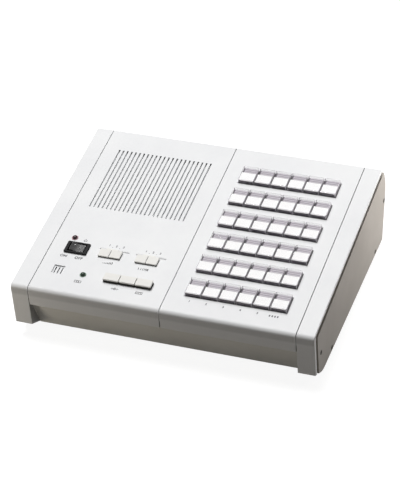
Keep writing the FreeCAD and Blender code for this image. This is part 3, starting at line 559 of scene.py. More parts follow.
@dataclass(frozen=True)
class Weave(Finish):
    """Open cloth, woven square."""

    thread: Colour
    gap: Colour
    pitch: float = 0.6
    cloud: float = 8.0

    def surface(self, recipe: Recipe) -> bpy.types.NodeSocket:
        """Builds the shader: round threads both ways with dark gaps between them.

        Args:
            recipe: The material to build it in.

        Returns:
            The shader's socket.
        """
        warp = abs(recipe.along("X") % self.pitch - self.pitch / 2) * (2 / self.pitch)
        weft = abs(recipe.along("Y") % self.pitch - self.pitch / 2) * (2 / self.pitch)
        crown = recipe.maths("MAXIMUM", warp, weft)
        cloud = recipe.noise(self.cloud, 2.0)
        share = crown.rising(0.2, 0.7) * (cloud * 0.3 + 0.8)
        return recipe.principled(Base_Color=recipe.blend(self.gap, self.thread, share), Roughness=0.85,
                                 Normal=recipe.bump(crown, 0.1))


@dataclass(frozen=True)
class Laminate(Finish):
    """A circuit board: solder mask over tracks, with rows of soldered pads."""

    mask: Colour
    track: Colour
    solder: Colour
    pitch: float = 2.54
    bend: float = 16.0
    sway: float = 14.0
    track_group: float = 22.0
    pad_group: float = 7.0

    def surface(self, recipe: Recipe) -> bpy.types.NodeSocket:
        """Builds the shader: tracks in bands, pads on a grid.

        Args:
            recipe: The material to build it in.

        Returns:
            The shader's socket.
        """
        across = recipe.along("X")
        along = recipe.along("Y")
        bend = recipe.noise(self.bend, 1.0) * self.sway
        lane = abs(((across + bend) % self.pitch) - self.pitch / 2)
        pad_x = abs(across % self.pitch - self.pitch / 2)
        pad_y = abs(along % self.pitch - self.pitch / 2)
        tracks = lane.rising(0.5, 0.35) * recipe.noise(self.track_group, 1.0).rising(0.48, 0.5)
        pads = recipe.maths("MAXIMUM", pad_x, pad_y).rising(0.55, 0.4)
        pads = pads * recipe.noise(self.pad_group, 1.0).rising(0.52, 0.54)
        masked = recipe.blend(self.mask, self.track, tracks)
        return recipe.principled(Base_Color=recipe.blend(masked, self.solder, pads),
                                 Metallic=pads * 0.9, Roughness=0.45 - pads * 0.15,
                                 Normal=recipe.bump(tracks + pads, 0.03))


# Colours of the casing as they look in plain light.
CASING = Moulding("casing_plastic", tone(231, 232, 233), tone(226, 227, 229), 0.52)
# Panels and end caps carry painted shade in their grooves and joints and a painted dark reflection under the
# front edge.
PANEL = CasingMoulding("panel_plastic", CASING.colour, CASING.drift, CASING.roughness,
                       painted_shade=tone(110, 108, 105))
# The right cap's painted shade runs the full height of its inner joint.
RIGHT_CAP = replace(PANEL, name="right_cap_plastic", joint_top=150.0)
PAN = Moulding("pan_plastic", tone(213, 211, 204), tone(207, 205, 198), 0.6, 0.6, 0.01)
SIDE_PAINT = Paint("side_plate_paint", tone(184, 179, 173), tone(160, 155, 150), 0.42, 0.05)
CAP_IVORY = Moulding("key_cap_plastic", tone(231, 230, 226), tone(226, 225, 221), 0.45, 0.5, 0.003, 0.3)
BLACK_PLASTIC = Moulding("black_plastic", tone(26, 26, 27), tone(32, 32, 33), 0.45, 0.4, 0.006, 0.08)
BLACK_GLOSS = Moulding("black_gloss", tone(18, 18, 19), tone(22, 22, 23), 0.28, 0.4, 0.001, 0.35)
# A dark colour that stands in for the shade under the key and knob tops.
KEY_BODY_SHADE = Moulding("key_body_shade_plastic", tone(56, 54, 52), tone(64, 62, 60), 0.5, 0.45, 0.004, 0.1)
CARRIER = Moulding("key_carrier_plastic", tone(118, 112, 120), tone(104, 98, 106), 0.5, 0.45, 0.006, 0.15)
COVER = ClearCover("clear_acrylic", tone(236, 233, 239), (0.995, 0.995, 0.995))
CARD = Paper("label_card", tone(254, 254, 254), tone(250, 250, 250))
WINDOW = Moulding("indicator_window", tone(158, 152, 161), tone(166, 160, 169), 0.4, 0.5, 0.002, 0.2)
WINDOW_RIB = Moulding("indicator_rib", tone(214, 209, 216), tone(206, 201, 208), 0.4, 0.5, 0.002, 0.2)
# The lenses' second, paler colour is a painted sheen at a slant.
RED_LENS = Lens("red_lens", tone(40, 6, 16), tone(84, 34, 44))
GREEN_LENS = Lens("green_lens", tone(4, 38, 18), tone(34, 78, 48))
RED_COLLAR = Moulding("red_collar", tone(190, 152, 160), tone(180, 142, 150), 0.4, 0.5, 0.002)
GREEN_COLLAR = Moulding("green_collar", tone(150, 172, 157), tone(140, 162, 147), 0.4, 0.5, 0.002)
SPEAKER_CLOTH = Weave("speaker_cloth", tone(246, 247, 248), tone(196, 196, 197))
INK = Moulding("printed_ink", tone(44, 44, 48), tone(52, 52, 56), 0.6, 0.3, 0.002, 0.2)
PALE_INK = Moulding("pale_ink", tone(84, 84, 90), tone(92, 92, 98), 0.6, 0.3, 0.002, 0.2)
WHITE_INK = Moulding("white_ink", tone(224, 224, 224), tone(214, 214, 214), 0.5, 0.3, 0.002)
SCREW_STEEL = Metal("blackened_steel", tone(20, 20, 20), tone(52, 50, 48), 0.1, 0.6, 0.05)
# Dark discs that stand in for the shade at the rear ends of the grille slots.
SLOT_END_SHADE = Moulding("slot_end_shade_plastic", tone(74, 75, 76), tone(84, 85, 86), 0.6, 0.4, 0.002, 0.1)
ZINC = Metal("zinc_plate", tone(198, 198, 196), tone(226, 226, 224), 0.25, 0.5)
FELT = Paper("microphone_felt", tone(112, 112, 114), tone(84, 84, 86))
BRIGHT_METAL = Metal("plated_steel", tone(188, 190, 193), tone(226, 228, 230), 1.0, 0.28)
GOLD = Metal("contact_gold", tone(214, 174, 98), tone(238, 208, 140), 1.0, 0.25)
BASKET = Paint("loudspeaker_basket", tone(46, 46, 48), tone(64, 64, 66), 0.45)
CONE = Paper("loudspeaker_cone", tone(60, 59, 57), tone(46, 45, 44))
FOOT_RUBBER = Rubber("foot_rubber", tone(44, 44, 45), tone(110, 108, 104))
BOARD = Laminate("board_laminate", tone(24, 84, 52), tone(34, 104, 66), tone(200, 202, 204))


# ---------------------------------------------------------------- solids and pieces

class Solid:
    """One closed body, shaped with mesh operators in the millimetres of a plane."""

    def __init__(self, finish: Finish) -> None:
        """Starts an empty body that wears one finish."""
        self.form = bmesh.new()
        self.finish = finish

    @classmethod
    def block(cls, low: Iterable[float], high: Iterable[float], finish: Finish) -> "Solid":
        """Makes a box.

        Args:
            low: Its lowest corner.
            high: Its highest corner.
            finish: What it wears.

        Returns:
            The solid.
        """
        low, high = Vector(low), Vector(high)
        solid = cls(finish)
        place = Matrix.Translation((low + high) / 2) @ Matrix.Diagonal((*(high - low), 1))
        bmesh.ops.create_cube(solid.form, size=1.0, matrix=place)
        return solid

    @classmethod
    def post(cls, middle: Iterable[float], size: tuple[float, float], low: float, high: float,
             finish: Finish) -> "Solid":
        """Makes an upright box.

        Args:
            middle: Its middle, of which the height isn't read.
            size: How wide it is and how deep.
            low: The height of its foot.
            high: The height of its top.
            finish: What it wears.

        Returns:
            The solid.
        """
        x, y, *_ = middle
        across, along = size[0] / 2, size[1] / 2
        return cls.block((x - across, y - along, low), (x + across, y + along, high), finish)

    @classmethod
    def turned(cls, profile: Iterable[tuple[float, float]], finish: Finish, steps: int = 40) -> "Solid":
        """Turns a profile about the upright axis.

        Args:
            profile: (radius, height) points from one end of the axis to the other.
            finish: What it wears.
            steps: How many sides it has.

        Returns:
            The solid.
        """
        solid = cls(finish)
        points = [bmesh.ops.create_vert(solid.form, co=(radius, 0, height))["vert"][0]
                  for radius, height in profile]
        runs = [solid.form.edges.new(pair) for pair in zip(points, points[1:])]
        bmesh.ops.spin(solid.form, geom=points + runs, cent=(0, 0, 0), axis=UP, angle=math.tau,
                       steps=steps, use_merge=True)
        bmesh.ops.remove_doubles(solid.form, verts=solid.form.verts, dist=MERGE)
        bmesh.ops.recalc_face_normals(solid.form, faces=solid.form.faces)
        return solid

    @classmethod
    def drum(cls, radius: float, low: float, high: float, finish: Finish, steps: int = 32) -> "Solid":
        """An upright cylinder between two heights."""
        return cls.turned([(0, low), (radius, low), (radius, high), (0, high)], finish, steps)

    def face(self, way: Vector) -> bmesh.types.BMFace:
        """The face that lies furthest along a direction and looks that way."""
        self.form.normal_update()
        return max((face for face in self.form.faces if face.normal.dot(way) > 0.99),
                   key=lambda face: face.calc_center_median().dot(way))

    def edges_along(self, way: Vector) -> list[bmesh.types.BMEdge]:
        """The edges that run along a direction."""
        return [edge for edge in self.form.edges
                if abs((edge.verts[0].co - edge.verts[1].co).normalized().dot(way)) > 0.999]

    def soften(self, edges: Iterable[bmesh.types.BMEdge], radius: float) -> "Solid":
        """Rounds edges by a radius."""
        bmesh.ops.bevel(self.form, geom=list(edges), offset=radius, offset_type="OFFSET", segments=3,
                        profile=0.5, affect="EDGES", clamp_overlap=True, material=-1)
        return self

    def rounded(self, corner: float, edge: float, way: Vector = UP) -> "Solid":
        """Rounds a box's upright corners, and then the edges of its far face.

        Args:
            corner: The rounding of the corners, or 0.
            edge: The rounding of the far face's edges, or 0.
            way: The direction that the corners run in and the far face looks in.

        Returns:
            The solid itself.
        """
        if corner:
            self.soften(self.edges_along(way), corner)
        if edge:
            self.soften(self.face(way).edges, edge)
        return self

    def sink(self, face: bmesh.types.BMFace, margin: float, depth: float) -> bmesh.types.BMFace:
        """Insets a face and pushes it in.

        Args:
            face: The face.
            margin: What stays around it.
            depth: How far it goes in.

        Returns:
            The floor of the recess.
        """
        if margin:
            bmesh.ops.inset_region(self.form, faces=[face], thickness=margin, use_even_offset=True)
        inward = -face.normal.copy()
        floor = bmesh.ops.extrude_discrete_faces(self.form, faces=[face])["faces"][0]
        bmesh.ops.translate(self.form, verts=list(floor.verts), vec=inward * depth)
        self.form.normal_update()
        return floor

    def moved(self, place: Matrix | Point) -> "Solid":
        """Moves the solid.

        Args:
            place: A matrix, or how far it goes along x, y and z.

        Returns:
            The solid itself.
        """
        matrix = place if isinstance(place, Matrix) else Matrix.Translation(place)
        bmesh.ops.transform(self.form, matrix=matrix, verts=self.form.verts)
        return self


class Piece:
    """A visible piece: solids on one plane that ride on one body."""

    def __init__(self, name: str, plane: Plane) -> None:
        """Starts an empty piece.

        Args:
            name: What it is called.
            plane: The plane that its solids are shaped on.
        """
        self.name = name
        self.plane = plane
        self.form = bmesh.new()
        self.finishes: list[Finish] = []

    def add(self, *solids: Solid) -> "Piece":
        """Joins solids to the piece.

        Args:
            solids: The solids, which are used up.

        Returns:
            The piece itself.
        """
        for solid in solids:
            if solid.finish not in self.finishes:
                self.finishes.append(solid.finish)
            for face in solid.form.faces:
                face.material_index = self.finishes.index(solid.finish)
            copy = bpy.data.meshes.new("copy")
            solid.form.to_mesh(copy)
            solid.form.free()
            self.form.from_mesh(copy)
            bpy.data.meshes.remove(copy)
        return self

    def place(self, slot: str, body: str, *nodes: str) -> None:
        """Makes the piece an object of the scene.

        Args:
            slot: The name of a material slot; not used.
            body: The body that it rides on.
            nodes: The nodes of the frame that it stands for.
        """
        mesh = bpy.data.meshes.new(self.name)
        self.form.to_mesh(mesh)
        self.form.free()
        mesh.transform(self.plane.matrix)
        for finish in self.finishes:
            mesh.materials.append(finish.material())
        mesh.shade_smooth()
        mesh.set_sharp_from_angle(angle=SMOOTH_ANGLE)
        piece = bpy.data.objects.new(self.name, mesh)
        bpy.context.scene.collection.objects.link(piece)
        piece.modifiers.new("even_shading", "WEIGHTED_NORMAL").keep_sharp = True
        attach(piece, body)
        if nodes:
            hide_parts(*nodes)
        log.info("%s: %d faces, rides on %s", self.name, len(mesh.polygons), body)


# ---------------------------------------------------------------- casing

@dataclass
class Casing:
    """The moulded and painted pieces of the frame that keep their shape."""

    finishes: dict[str, Finish] = field(default_factory=lambda: {
        "left_end_cap": PANEL, "right_end_cap": RIGHT_CAP, "control_panel": PANEL, "key_panel": PANEL,
        "left_side_plate": SIDE_PAINT, "right_side_plate": SIDE_PAINT, "base_pan": PAN,
        "circuit_boards": BOARD, "key_switches": BLACK_PLASTIC, "slide_controls": ZINC,
        "microphone": FELT})

    def build(self) -> None:
        """Dresses each node in its finish."""
        for node, finish in self.finishes.items():
            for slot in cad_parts[node].material_slots:
                slot.material = finish.material()
            log.info("%s wears %s", node, finish.name)


@dataclass
class RubberFeet:
    """Four turned feet with a dished sole."""

    top_radius: float = 7.5
    sole_radius: float = 6.5
    rounding: float = 0.8
    dish_share: float = 0.55
    dish_depth: float = 0.8

    def build(self) -> None:
        """Makes the feet where the frame has them."""
        low, high = CASE.extent("rubber_feet")
        top, sole = self.top_radius, self.sole_radius
        piece = Piece("turned_rubber_feet", CASE)
        dish = sole * self.dish_share
        profile = [(0, low.z + self.dish_depth), (dish - self.rounding, low.z + self.dish_depth),
                   (dish, low.z), (sole - self.rounding, low.z), (sole - 0.2, low.z + 0.25),
                   (sole, low.z + self.rounding), (top, high.z - 0.4), (top - 0.3, high.z), (0, high.z)]
        for x in (low.x + top, high.x - top):
            for y in (low.y + top, high.y - top):
                piece.add(Solid.turned(profile, FOOT_RUBBER, 48).moved((x, y, 0)))
        piece.place("foot_rubber", "station", "rubber_feet")


@dataclass
class CaseScrews:
    """Pan head screws with a cross recess, eight in the sides and eight from below."""

    head_radius: float = 2.4
    head_height: float = 1.1
    shaft_radius: float = 1.5
    shaft_length: float = 20.0
    cross_size: float = 2.6
    cross_depth: float = 0.8
    thread_pitch: float = 0.8
    twist: tuple[float, float] = (20.0, 37.0)
    sink: float = 1.3
    plate_face: float = 149.8
    floor_face: float = 2.0
    posts: tuple[tuple[float, float], ...] = ((7.5, 30.0), (7.5, BASE_DEPTH - 42.0), (125.3, 30.0),
                                              (125.3, BASE_DEPTH - 42.0))
    side_holes: tuple[tuple[float, float], ...] = (
        (19.2, 24.4), (52.0, 3.4), (BASE_DEPTH - 26.0, 3.4), (BASE_DEPTH + 42.5 * math.tan(LEAN) - 3.9, 42.5))

    def head(self) -> Solid:
        """Makes the head, its seat at height 0: a cross recess bridged to a round rim.

        Returns:
            The solid.
        """
        solid = Solid(SCREW_STEEL)
        form = solid.form
        bmesh.ops.create_grid(form, x_segments=3, y_segments=3, size=self.cross_size / 2,
                              matrix=Matrix.Translation((0, 0, self.head_height)))
        corners = [face for face in form.faces
                   if min(abs(face.calc_center_median().x), abs(face.calc_center_median().y)) > 0.1]
        bmesh.ops.delete(form, geom=corners, context="FACES")
        inner = [edge for edge in form.edges if edge.is_boundary]
        cross = bmesh.ops.extrude_face_region(form, geom=form.faces[:])["geom"]
        floor = [item for item in cross if isinstance(item, bmesh.types.BMVert)]
        bmesh.ops.scale(form, vec=(0.7, 0.7, 1), verts=floor)
        bmesh.ops.translate(form, vec=(0, 0, -self.cross_depth), verts=floor)
        rim = bmesh.ops.create_circle(form, segments=24, radius=self.head_radius - 0.35, cap_ends=False,
                                      matrix=Matrix.Translation((0, 0, self.head_height)))["verts"]
        outer = list({edge for vert in rim for edge in vert.link_edges})
        bmesh.ops.bridge_loops(form, edges=inner + outer)
        outer = [edge for edge in form.edges if edge.is_boundary and all(v in rim for v in edge.verts)]
        for radius, height in ((self.head_radius - 0.1, self.head_height - 0.15),
                               (self.head_radius, self.head_height * 0.55), (self.head_radius, 0.0)):
            outer = self.widen(form, outer, radius, height)
        bmesh.ops.contextual_create(form, geom=outer)
        bmesh.ops.recalc_face_normals(form, faces=form.faces)
        return solid

    def widen(self, form: bmesh.types.BMesh, rim: list[bmesh.types.BMEdge], radius: float,
              height: float) -> list[bmesh.types.BMEdge]:
        """Extrudes a round rim to another radius and height.

        Args:
            form: The mesh.
            rim: The rim's edges.
            radius: The new rim's radius.
            height: The new rim's height.

        Returns:
            The new rim's edges.
        """
        grown = bmesh.ops.extrude_edge_only(form, edges=rim)["geom"]
        for vert in (item for item in grown if isinstance(item, bmesh.types.BMVert)):
            flat = Vector((vert.co.x, vert.co.y, 0)).normalized() * radius
            vert.co = (flat.x, flat.y, height)
        return [item for item in grown if isinstance(item, bmesh.types.BMEdge)]

    def shaft(self) -> Solid:
        """Makes the threaded shaft below the head.

        Returns:
            The solid.
        """
        crest, core, pitch = self.shaft_radius, self.shaft_radius - 0.3, self.thread_pitch
        profile = [(0, 0.2), (crest, 0.2), (crest, -1.0)]
        for turn in range(int((self.shaft_length - 2.5) / pitch)):
            height = -1.0 - turn * pitch
            profile += [(core, height - pitch / 2), (crest, height - pitch)]
        profile += [(core, -self.shaft_length + 0.5), (0, -self.shaft_length)]
        return Solid.turned(profile, SCREW_STEEL, 12)

    def build(self) -> None:
        """Makes the sixteen screws where the frame has them."""
        piece = Piece("cross_head_screws", CASE)
        first, step = self.twist
        for side in (-1, 1):
            places = [Matrix.Translation((side * (self.plate_face - self.sink), y, z))
                      @ Matrix.Rotation(side * math.pi / 2, 4, "Y") for y, z in self.side_holes]
            places += [Matrix.Translation((side * x, y, self.floor_face + self.sink))
                       @ Matrix.Rotation(math.pi, 4, "X") for x, y in self.posts]
            for turn, place in enumerate(places):
                twisted = place @ Matrix.Rotation(math.radians(first + step * turn), 4, "Z")
                piece.add(self.head().moved(twisted), self.shaft().moved(twisted))
        piece.place("screw_steel", "station", "case_screws")


# ---------------------------------------------------------------- keys

@dataclass
class StationKeys:
    """Clear covers over a label card and an indicator window, on a dark carrier."""

    rows: int = 6
    columns: int = 6
    wall: float = 0.45
    fit: float = 0.1
    corner: float = 1.1
    edge: float = 0.7
    skirt_drop: float = 1.0
    carrier_low: float = -2.2
    carrier_top: float = 2.0
    card_top: float = 3.5
    window_top: float = 2.9
    card_share: float = 0.61
    card_thickness: float = 0.15
    window_inset: float = 1.5
    ribs: int = 3
    rib_width: float = 1.0
    stem: float = 5.0

    def cover(self, low: Vector, high: Vector) -> Solid:
        """Makes the clear cover: a rounded box, open below.

        Args:
            low: Lowest corner of the key.
            high: Highest corner of the key.

        Returns:
            The solid.
        """
        solid = Solid.block((low.x, low.y, -self.skirt_drop), high, COVER).rounded(self.corner, self.edge)
        solid.sink(solid.face(-UP), self.wall, high.z + self.skirt_drop - self.wall)
        return solid

    def inside(self, low: Vector, high: Vector) -> list[Solid]:
        """Makes the carrier, the label card on its tray and the ribbed window.

        Args:
            low: Lowest corner of the key.
            high: Highest corner of the key.

        Returns:
            The solids.
        """
        inset = self.wall + self.fit
        left, right = low.x + inset, high.x - inset
        front, rear = low.y + inset, high.y - inset
        top = self.carrier_top
        split = front + (rear - front) * self.card_share
        carrier = Solid.block((left, front, self.carrier_low), (right, rear, top), CARRIER).rounded(0.6, 0.2)
        stem = Solid.post((low + high) / 2, (self.stem, self.stem), low.z, self.carrier_low, CARRIER)
        stem.rounded(0.5, 0.4, -UP)
        bed = self.card_top - self.card_thickness
        tray = Solid.block((left, front, top), (right, split, bed), CARRIER).rounded(0.6, 0.2)
        card = Solid.block((left + 0.1, front + 0.1, bed), (right - 0.1, split - 0.1, self.card_top), CARD)
        card.rounded(0.3, 0.06)
        window_low = Vector((left + self.window_inset, split + 0.1, top))
        window_high = Vector((right - 0.25, rear - 0.5, self.window_top))
        window = Solid.block(window_low, window_high, WINDOW).rounded(0.8, 0.2)
        solids = [carrier, stem, tray, card, window]
        step = (window_high.y - window_low.y) / self.ribs
        width = window_high.x - window_low.x - 1.2
        for rib in range(self.ribs):
            middle = ((window_low.x + window_high.x) / 2, window_low.y + step * (rib + 0.5))
            solids.append(Solid.post(middle, (width, self.rib_width), self.window_top - 0.1,
                                     self.window_top + 0.2, WINDOW_RIB).rounded(0.15, 0.1))
        return solids

    def build(self) -> None:
        """Makes each key where the frame has it."""
        for row in range(1, self.rows + 1):
            for column in range(1, self.columns + 1):
                node = f"station_key_{row}_{column}"
                low, high = DECK.extent(node)
                piece = Piece(f"clear_key_{row}_{column}", DECK)
                piece.add(self.cover(low, high), *self.inside(low, high))
                piece.place("clear_key", f"key_{row}_{column}", node)


@dataclass
class FunctionKeys:
    """Ivory tops on dark key bodies, whose dark colour is painted shade."""

    count: int = 3
    body_low: float = -2.2
    top_thickness: float = 1.4
    corner: float = 0.5
    edge: float = 0.4
    stem: float = 5.0

    def build(self) -> None:
        """Makes each cap where the frame has it."""
        for index in range(1, self.count + 1):
            low, high = DECK.extent(f"function_key_{index}")
            joint = high.z - self.top_thickness
            top = Solid.block((low.x, low.y, joint), high, CAP_IVORY).rounded(self.corner, self.edge)
            # The dark body under the ivory top is painted shade.
            body = Solid.block((low.x + 0.1, low.y + 0.1, self.body_low), (high.x - 0.1, high.y - 0.1, joint),
                               KEY_BODY_SHADE)
            stem = Solid.post((low + high) / 2, (self.stem, self.stem), low.z, self.body_low, KEY_BODY_SHADE)
            piece = Piece(f"function_key_cap_{index}", DECK)
            piece.add(top, body.rounded(self.corner, 0.0), stem.rounded(0.5, 0.4, -UP))
            piece.place("function_key_plastic", f"bank_key_{index}", f"function_key_{index}")


# ---------------------------------------------------------------- controls

@dataclass
class PowerSwitch:
    """The rocker and the switch body that it tilts in."""

    rocker_length: float = 10.2
    radius: float = 8.0
    rise: float = math.radians(30.0)
    fall: float = math.radians(20.0)
    tilt: float = math.radians(10.0)
    dish: float = 0.75
    pivot_drop: float = 1.5
    flange_height: float = 2.0
    flange_edge: float = 0.5
    well_size: tuple[float, float] = (16.8, 10.8)
    well_depth: float = 8.2
    body_inset: float = 1.4
    body_drop: float = 14.0
    terminal: tuple[float, float] = (0.8, 3.0)
    terminal_reach: float = 4.2
    pin_radius: float = 1.5
    mark_radius: float = 0.55
    mark_rise: float = 2.4

    def bezel(self) -> tuple[float, float]:
        """Makes the switch body.

        Returns:
            Its middle on the deck, x and y.
        """
        low, high = DECK.extent("rocker_bezel")
        flange = Solid.block((low.x, low.y, 0), (high.x, high.y, self.flange_height), BLACK_PLASTIC)
        middle, size = (low + high) / 2, high - low
        opening = flange.face(UP)
        bmesh.ops.inset_region(flange.form, faces=[opening], thickness=(size.y - self.well_size[1]) / 2,
                               use_even_offset=True)
        narrowing = self.well_size[0] / (size.x - size.y + self.well_size[1])
        bmesh.ops.scale(flange.form, vec=(narrowing, 1, 1), verts=list(opening.verts),
                        space=Matrix.Translation((-middle.x, 0, 0)))
        flange.sink(opening, 0.0, self.well_depth)
        top = [edge for edge in flange.form.edges
               if all(abs(vert.co.z - self.flange_height) < MERGE for vert in edge.verts)
               and any(abs(face.normal.z) < 0.5 for face in edge.link_faces)]
        corners = [edge for edge in flange.edges_along(UP)
                   if abs(abs(edge.verts[0].co.x - middle.x) - size.x / 2) < MERGE]
        flange.soften(top + corners, self.flange_edge)
        inset = self.body_inset
        body = Solid.block((low.x + inset, low.y + inset, -self.body_drop),
                           (high.x - inset, high.y - inset, 0), BLACK_PLASTIC).rounded(0.6, 0.4, -UP)
        piece = Piece("rocker_switch_body", DECK).add(flange, body)
        for side in (-1, 1):
            place = (middle.x + side * self.terminal_reach, middle.y)
            blade = Solid.post(place, self.terminal, low.z, -self.body_drop, BRIGHT_METAL)
            piece.add(blade.rounded(0.2, 0.3, -UP))
        piece.place("black_plastic", "station", "rocker_bezel")
        return middle.x, middle.y

    def rocker(self, x: float, y: float) -> None:
        """Makes the rocker, lying on its right stop.

        Args:
            x: Its middle on the deck.
            y: The same, up the deck.
        """
        plane = DECK.turned((x, y, -self.pivot_drop), self.tilt, "Y")
        top = self.radius * math.sin(self.rise)
        foot = -self.radius * math.sin(self.fall)
        across = self.radius * math.cos(self.rise)
        half = self.rocker_length / 2
        solid = Solid.block((-across, -half, foot), (across, half, top), BLACK_GLOSS)
        for way, cuts in ((UP, 4), (X_WAY, 7)):
            bmesh.ops.subdivide_edges(solid.form, edges=solid.edges_along(way), cuts=cuts, use_grid_fill=True)
        for vert in solid.form.verts:
            edge_x = math.sqrt(self.radius ** 2 - vert.co.z ** 2)
            share = vert.co.x / across
            if abs(vert.co.z - top) < MERGE:
                dip = (across - abs(vert.co.x)) * math.tan(self.tilt)
                vert.co.z -= dip * (self.dish + (1 - self.dish) * abs(share))
            vert.co.x = share * (edge_x if abs(share) > 0.999 else across)
        rim = [edge for edge in solid.form.edges
               if any(face.normal.z > 0.9 for face in edge.link_faces)
               and any(face.normal.z < 0.5 for face in edge.link_faces)]
        solid.form.normal_update()
        solid.soften(rim, 0.4)
        pin = Solid.drum(self.pin_radius, -half - 0.5, half + 0.5, BLACK_GLOSS, 24)
        pin.moved(Matrix.Rotation(math.pi / 2, 4, "X"))
        dip = across / 2 * math.tan(self.tilt) * (1 + self.dish) / 2
        spot = Matrix.Translation((-across / 2, self.mark_rise, top - dip))
        mark = Solid.drum(self.mark_radius, -0.3, 0.1, WHITE_INK, 24)
        mark.moved(spot @ Matrix.Rotation(self.tilt, 4, "Y"))
        piece = Piece("rocker_paddle", plane).add(solid, pin, mark)
        piece.place("black_gloss", "rocker", "power_rocker")

    def build(self) -> None:
        """Makes the switch body and the rocker in it."""
        self.rocker(*self.bezel())


@dataclass
class SlideKnobs:
    """Flat knobs with a pointer groove across the middle."""

    thickness: float = 2.0
    lift: float = 0.3
    cap_length: float = 9.7
    groove: float = 0.5
    groove_depth: float = 0.35
    tongue_width: float = 12.0
    tongue_thickness: float = 1.2
    plate: float = 1.1
    lever: float = 0.6
    lever_seat: float = 0.7
    track: tuple[float, float] = (30.5, 2.4)
    strip: tuple[float, float] = (-1.0, -0.15)
    slit: float = 0.8
    travel_middle: float = -1.95

    def strips(self, x: float, y: float) -> list[Solid]:
        """Makes the dust strips along both sides of a track.

        Args:
            x: The middle of the track on the deck.
            y: The same, up the deck.

        Returns:
            The strips.
        """
        half, reach = self.track[0] / 2, self.track[1] / 2
        bottom, top = self.strip
        return [Solid.block((x - half, y + min(side * reach, side * self.slit / 2), bottom),
                            (x + half, y + max(side * reach, side * self.slit / 2), top), CASING)
                for side in (-1, 1)]

    def cap(self, low: Vector, high: Vector) -> list[Solid]:
        """Makes the two plates of the cap, the dark body below them in painted shade and the pointer groove
        between.

        Args:
            low: Lowest corner of the knob.
            high: Highest corner of the knob.

        Returns:
            The solids.
        """
        rear, top = low.y + self.cap_length, self.lift + self.thickness
        half = (high.x - low.x - self.groove) / 2
        middle = (low.x + high.x) / 2
        plates = [Solid.block((start, low.y, top - self.plate), (start + half, rear, top),
                              CAP_IVORY).rounded(0.3, 0.3) for start in (low.x, high.x - half)]
        # The dark body under the plates is painted shade.
        body = Solid.block((low.x + 0.15, low.y + 0.15, self.lift),
                           (high.x - 0.15, rear - 0.15, top - self.plate), KEY_BODY_SHADE)
        pointer = Solid.block((middle - self.groove, low.y + 0.3, self.lift + 0.1),
                              (middle + self.groove, rear - 0.3, top - self.groove_depth), PALE_INK)
        return [*plates, body, pointer]

    def lever_and_tongue(self, low: Vector, high: Vector, seat: float) -> list[Solid]:
        """Makes the tongue behind the cap and the lever that goes down from it.

        Args:
            low: Lowest corner of the knob.
            high: Highest corner of the knob.
            seat: The middle of the lever, up the deck.

        Returns:
            The solids.
        """
        middle, half = (low.x + high.x) / 2, self.tongue_width / 2
        tongue = Solid.block((middle - half, low.y + self.cap_length - 1.0, self.lift + 0.05),
                             (middle + half, high.y, self.lift + self.tongue_thickness), CAP_IVORY)
        lever = Solid.block((middle - half, seat - self.lever / 2, low.z),
                            (middle + half, seat + self.lever / 2, self.lift + 0.1), BLACK_PLASTIC)
        return [tongue.rounded(0.0, 0.25), lever]

    def build(self) -> None:
        """Makes both knobs where the frame has them."""
        for name, body in (("volume_slide_knob", "volume_knob"), ("tone_slide_knob", "tone_knob")):
            low, high = DECK.extent(name)
            seat = high.y - self.lever_seat
            piece = Piece(name.replace("_knob", "_cap"), DECK)
            piece.add(*self.cap(low, high), *self.lever_and_tongue(low, high, seat))
            piece.place("knob_plastic", body, name)
            lining = Piece(name.replace("slide_knob", "track_strips"), DECK)
            lining.add(*self.strips((low.x + high.x) / 2 - self.travel_middle, seat))
            lining.place("casing_plastic", "station")


@dataclass
class IndicatorLamps:
    """Domed lamps with a flange under the deck and two leads."""

    radius: float = 2.5
    stand: float = 2.8
    flange_radius: float = 2.9
    flange_top: float = -2.55
    seat: float = -3.5
    lead_pitch: float = 2.54
    lead: float = 0.5
    collar_radius: float = 3.3
    collar_height: float = 0.5

    def build(self) -> None:
        """Makes the red and the green lamp where the frame has them."""
        hole, rim, lip = self.radius + 0.1, self.collar_radius, self.collar_height
        collar = [(hole, 0), (rim, 0), (rim, lip - 0.2), (rim - 0.2, lip), (hole + 0.2, lip),
                  (hole, lip - 0.2), (hole, 0)]
        shoulder = self.stand - self.radius
        turns = [math.radians(turn) for turn in range(0, 90, 9)]
        dome = [(self.radius * math.cos(turn), shoulder + self.radius * math.sin(turn)) for turn in turns]
        bulb = [(0, self.seat), (self.flange_radius, self.seat), (self.flange_radius, self.flange_top),
                (self.radius, self.flange_top), *dome, (0, self.stand)]
        lamps = (("power_lamp", RED_LENS, RED_COLLAR), ("busy_lamp", GREEN_LENS, GREEN_COLLAR))
        for name, lens, ring in lamps:
            low, high = DECK.extent(name)
            middle = (low + high) / 2
            piece = Piece(name + "_lens", DECK)
            for profile, finish in ((bulb, lens), (collar, ring)):
                piece.add(Solid.turned(profile, finish).moved((middle.x, middle.y, 0)))
            for side in (-1, 1):
                place = (middle.x + side * self.lead_pitch / 2, middle.y)
                piece.add(Solid.post(place, (self.lead, self.lead), low.z, self.seat, BRIGHT_METAL))
            piece.place(lens.name, "station", name)


# ---------------------------------------------------------------- printed marks

class Sign(Enum):
    """The small signs that stand in for words."""

    POWER = "broken ring with a bar"
    LEVEL = "bars of rising height"
    WAVE = "bars of rising pitch"
    CALL = "ringing dot"
    TALK = "three dots in a frame"
    WAIT = "two bars in a frame"
    ALL = "row of keys"


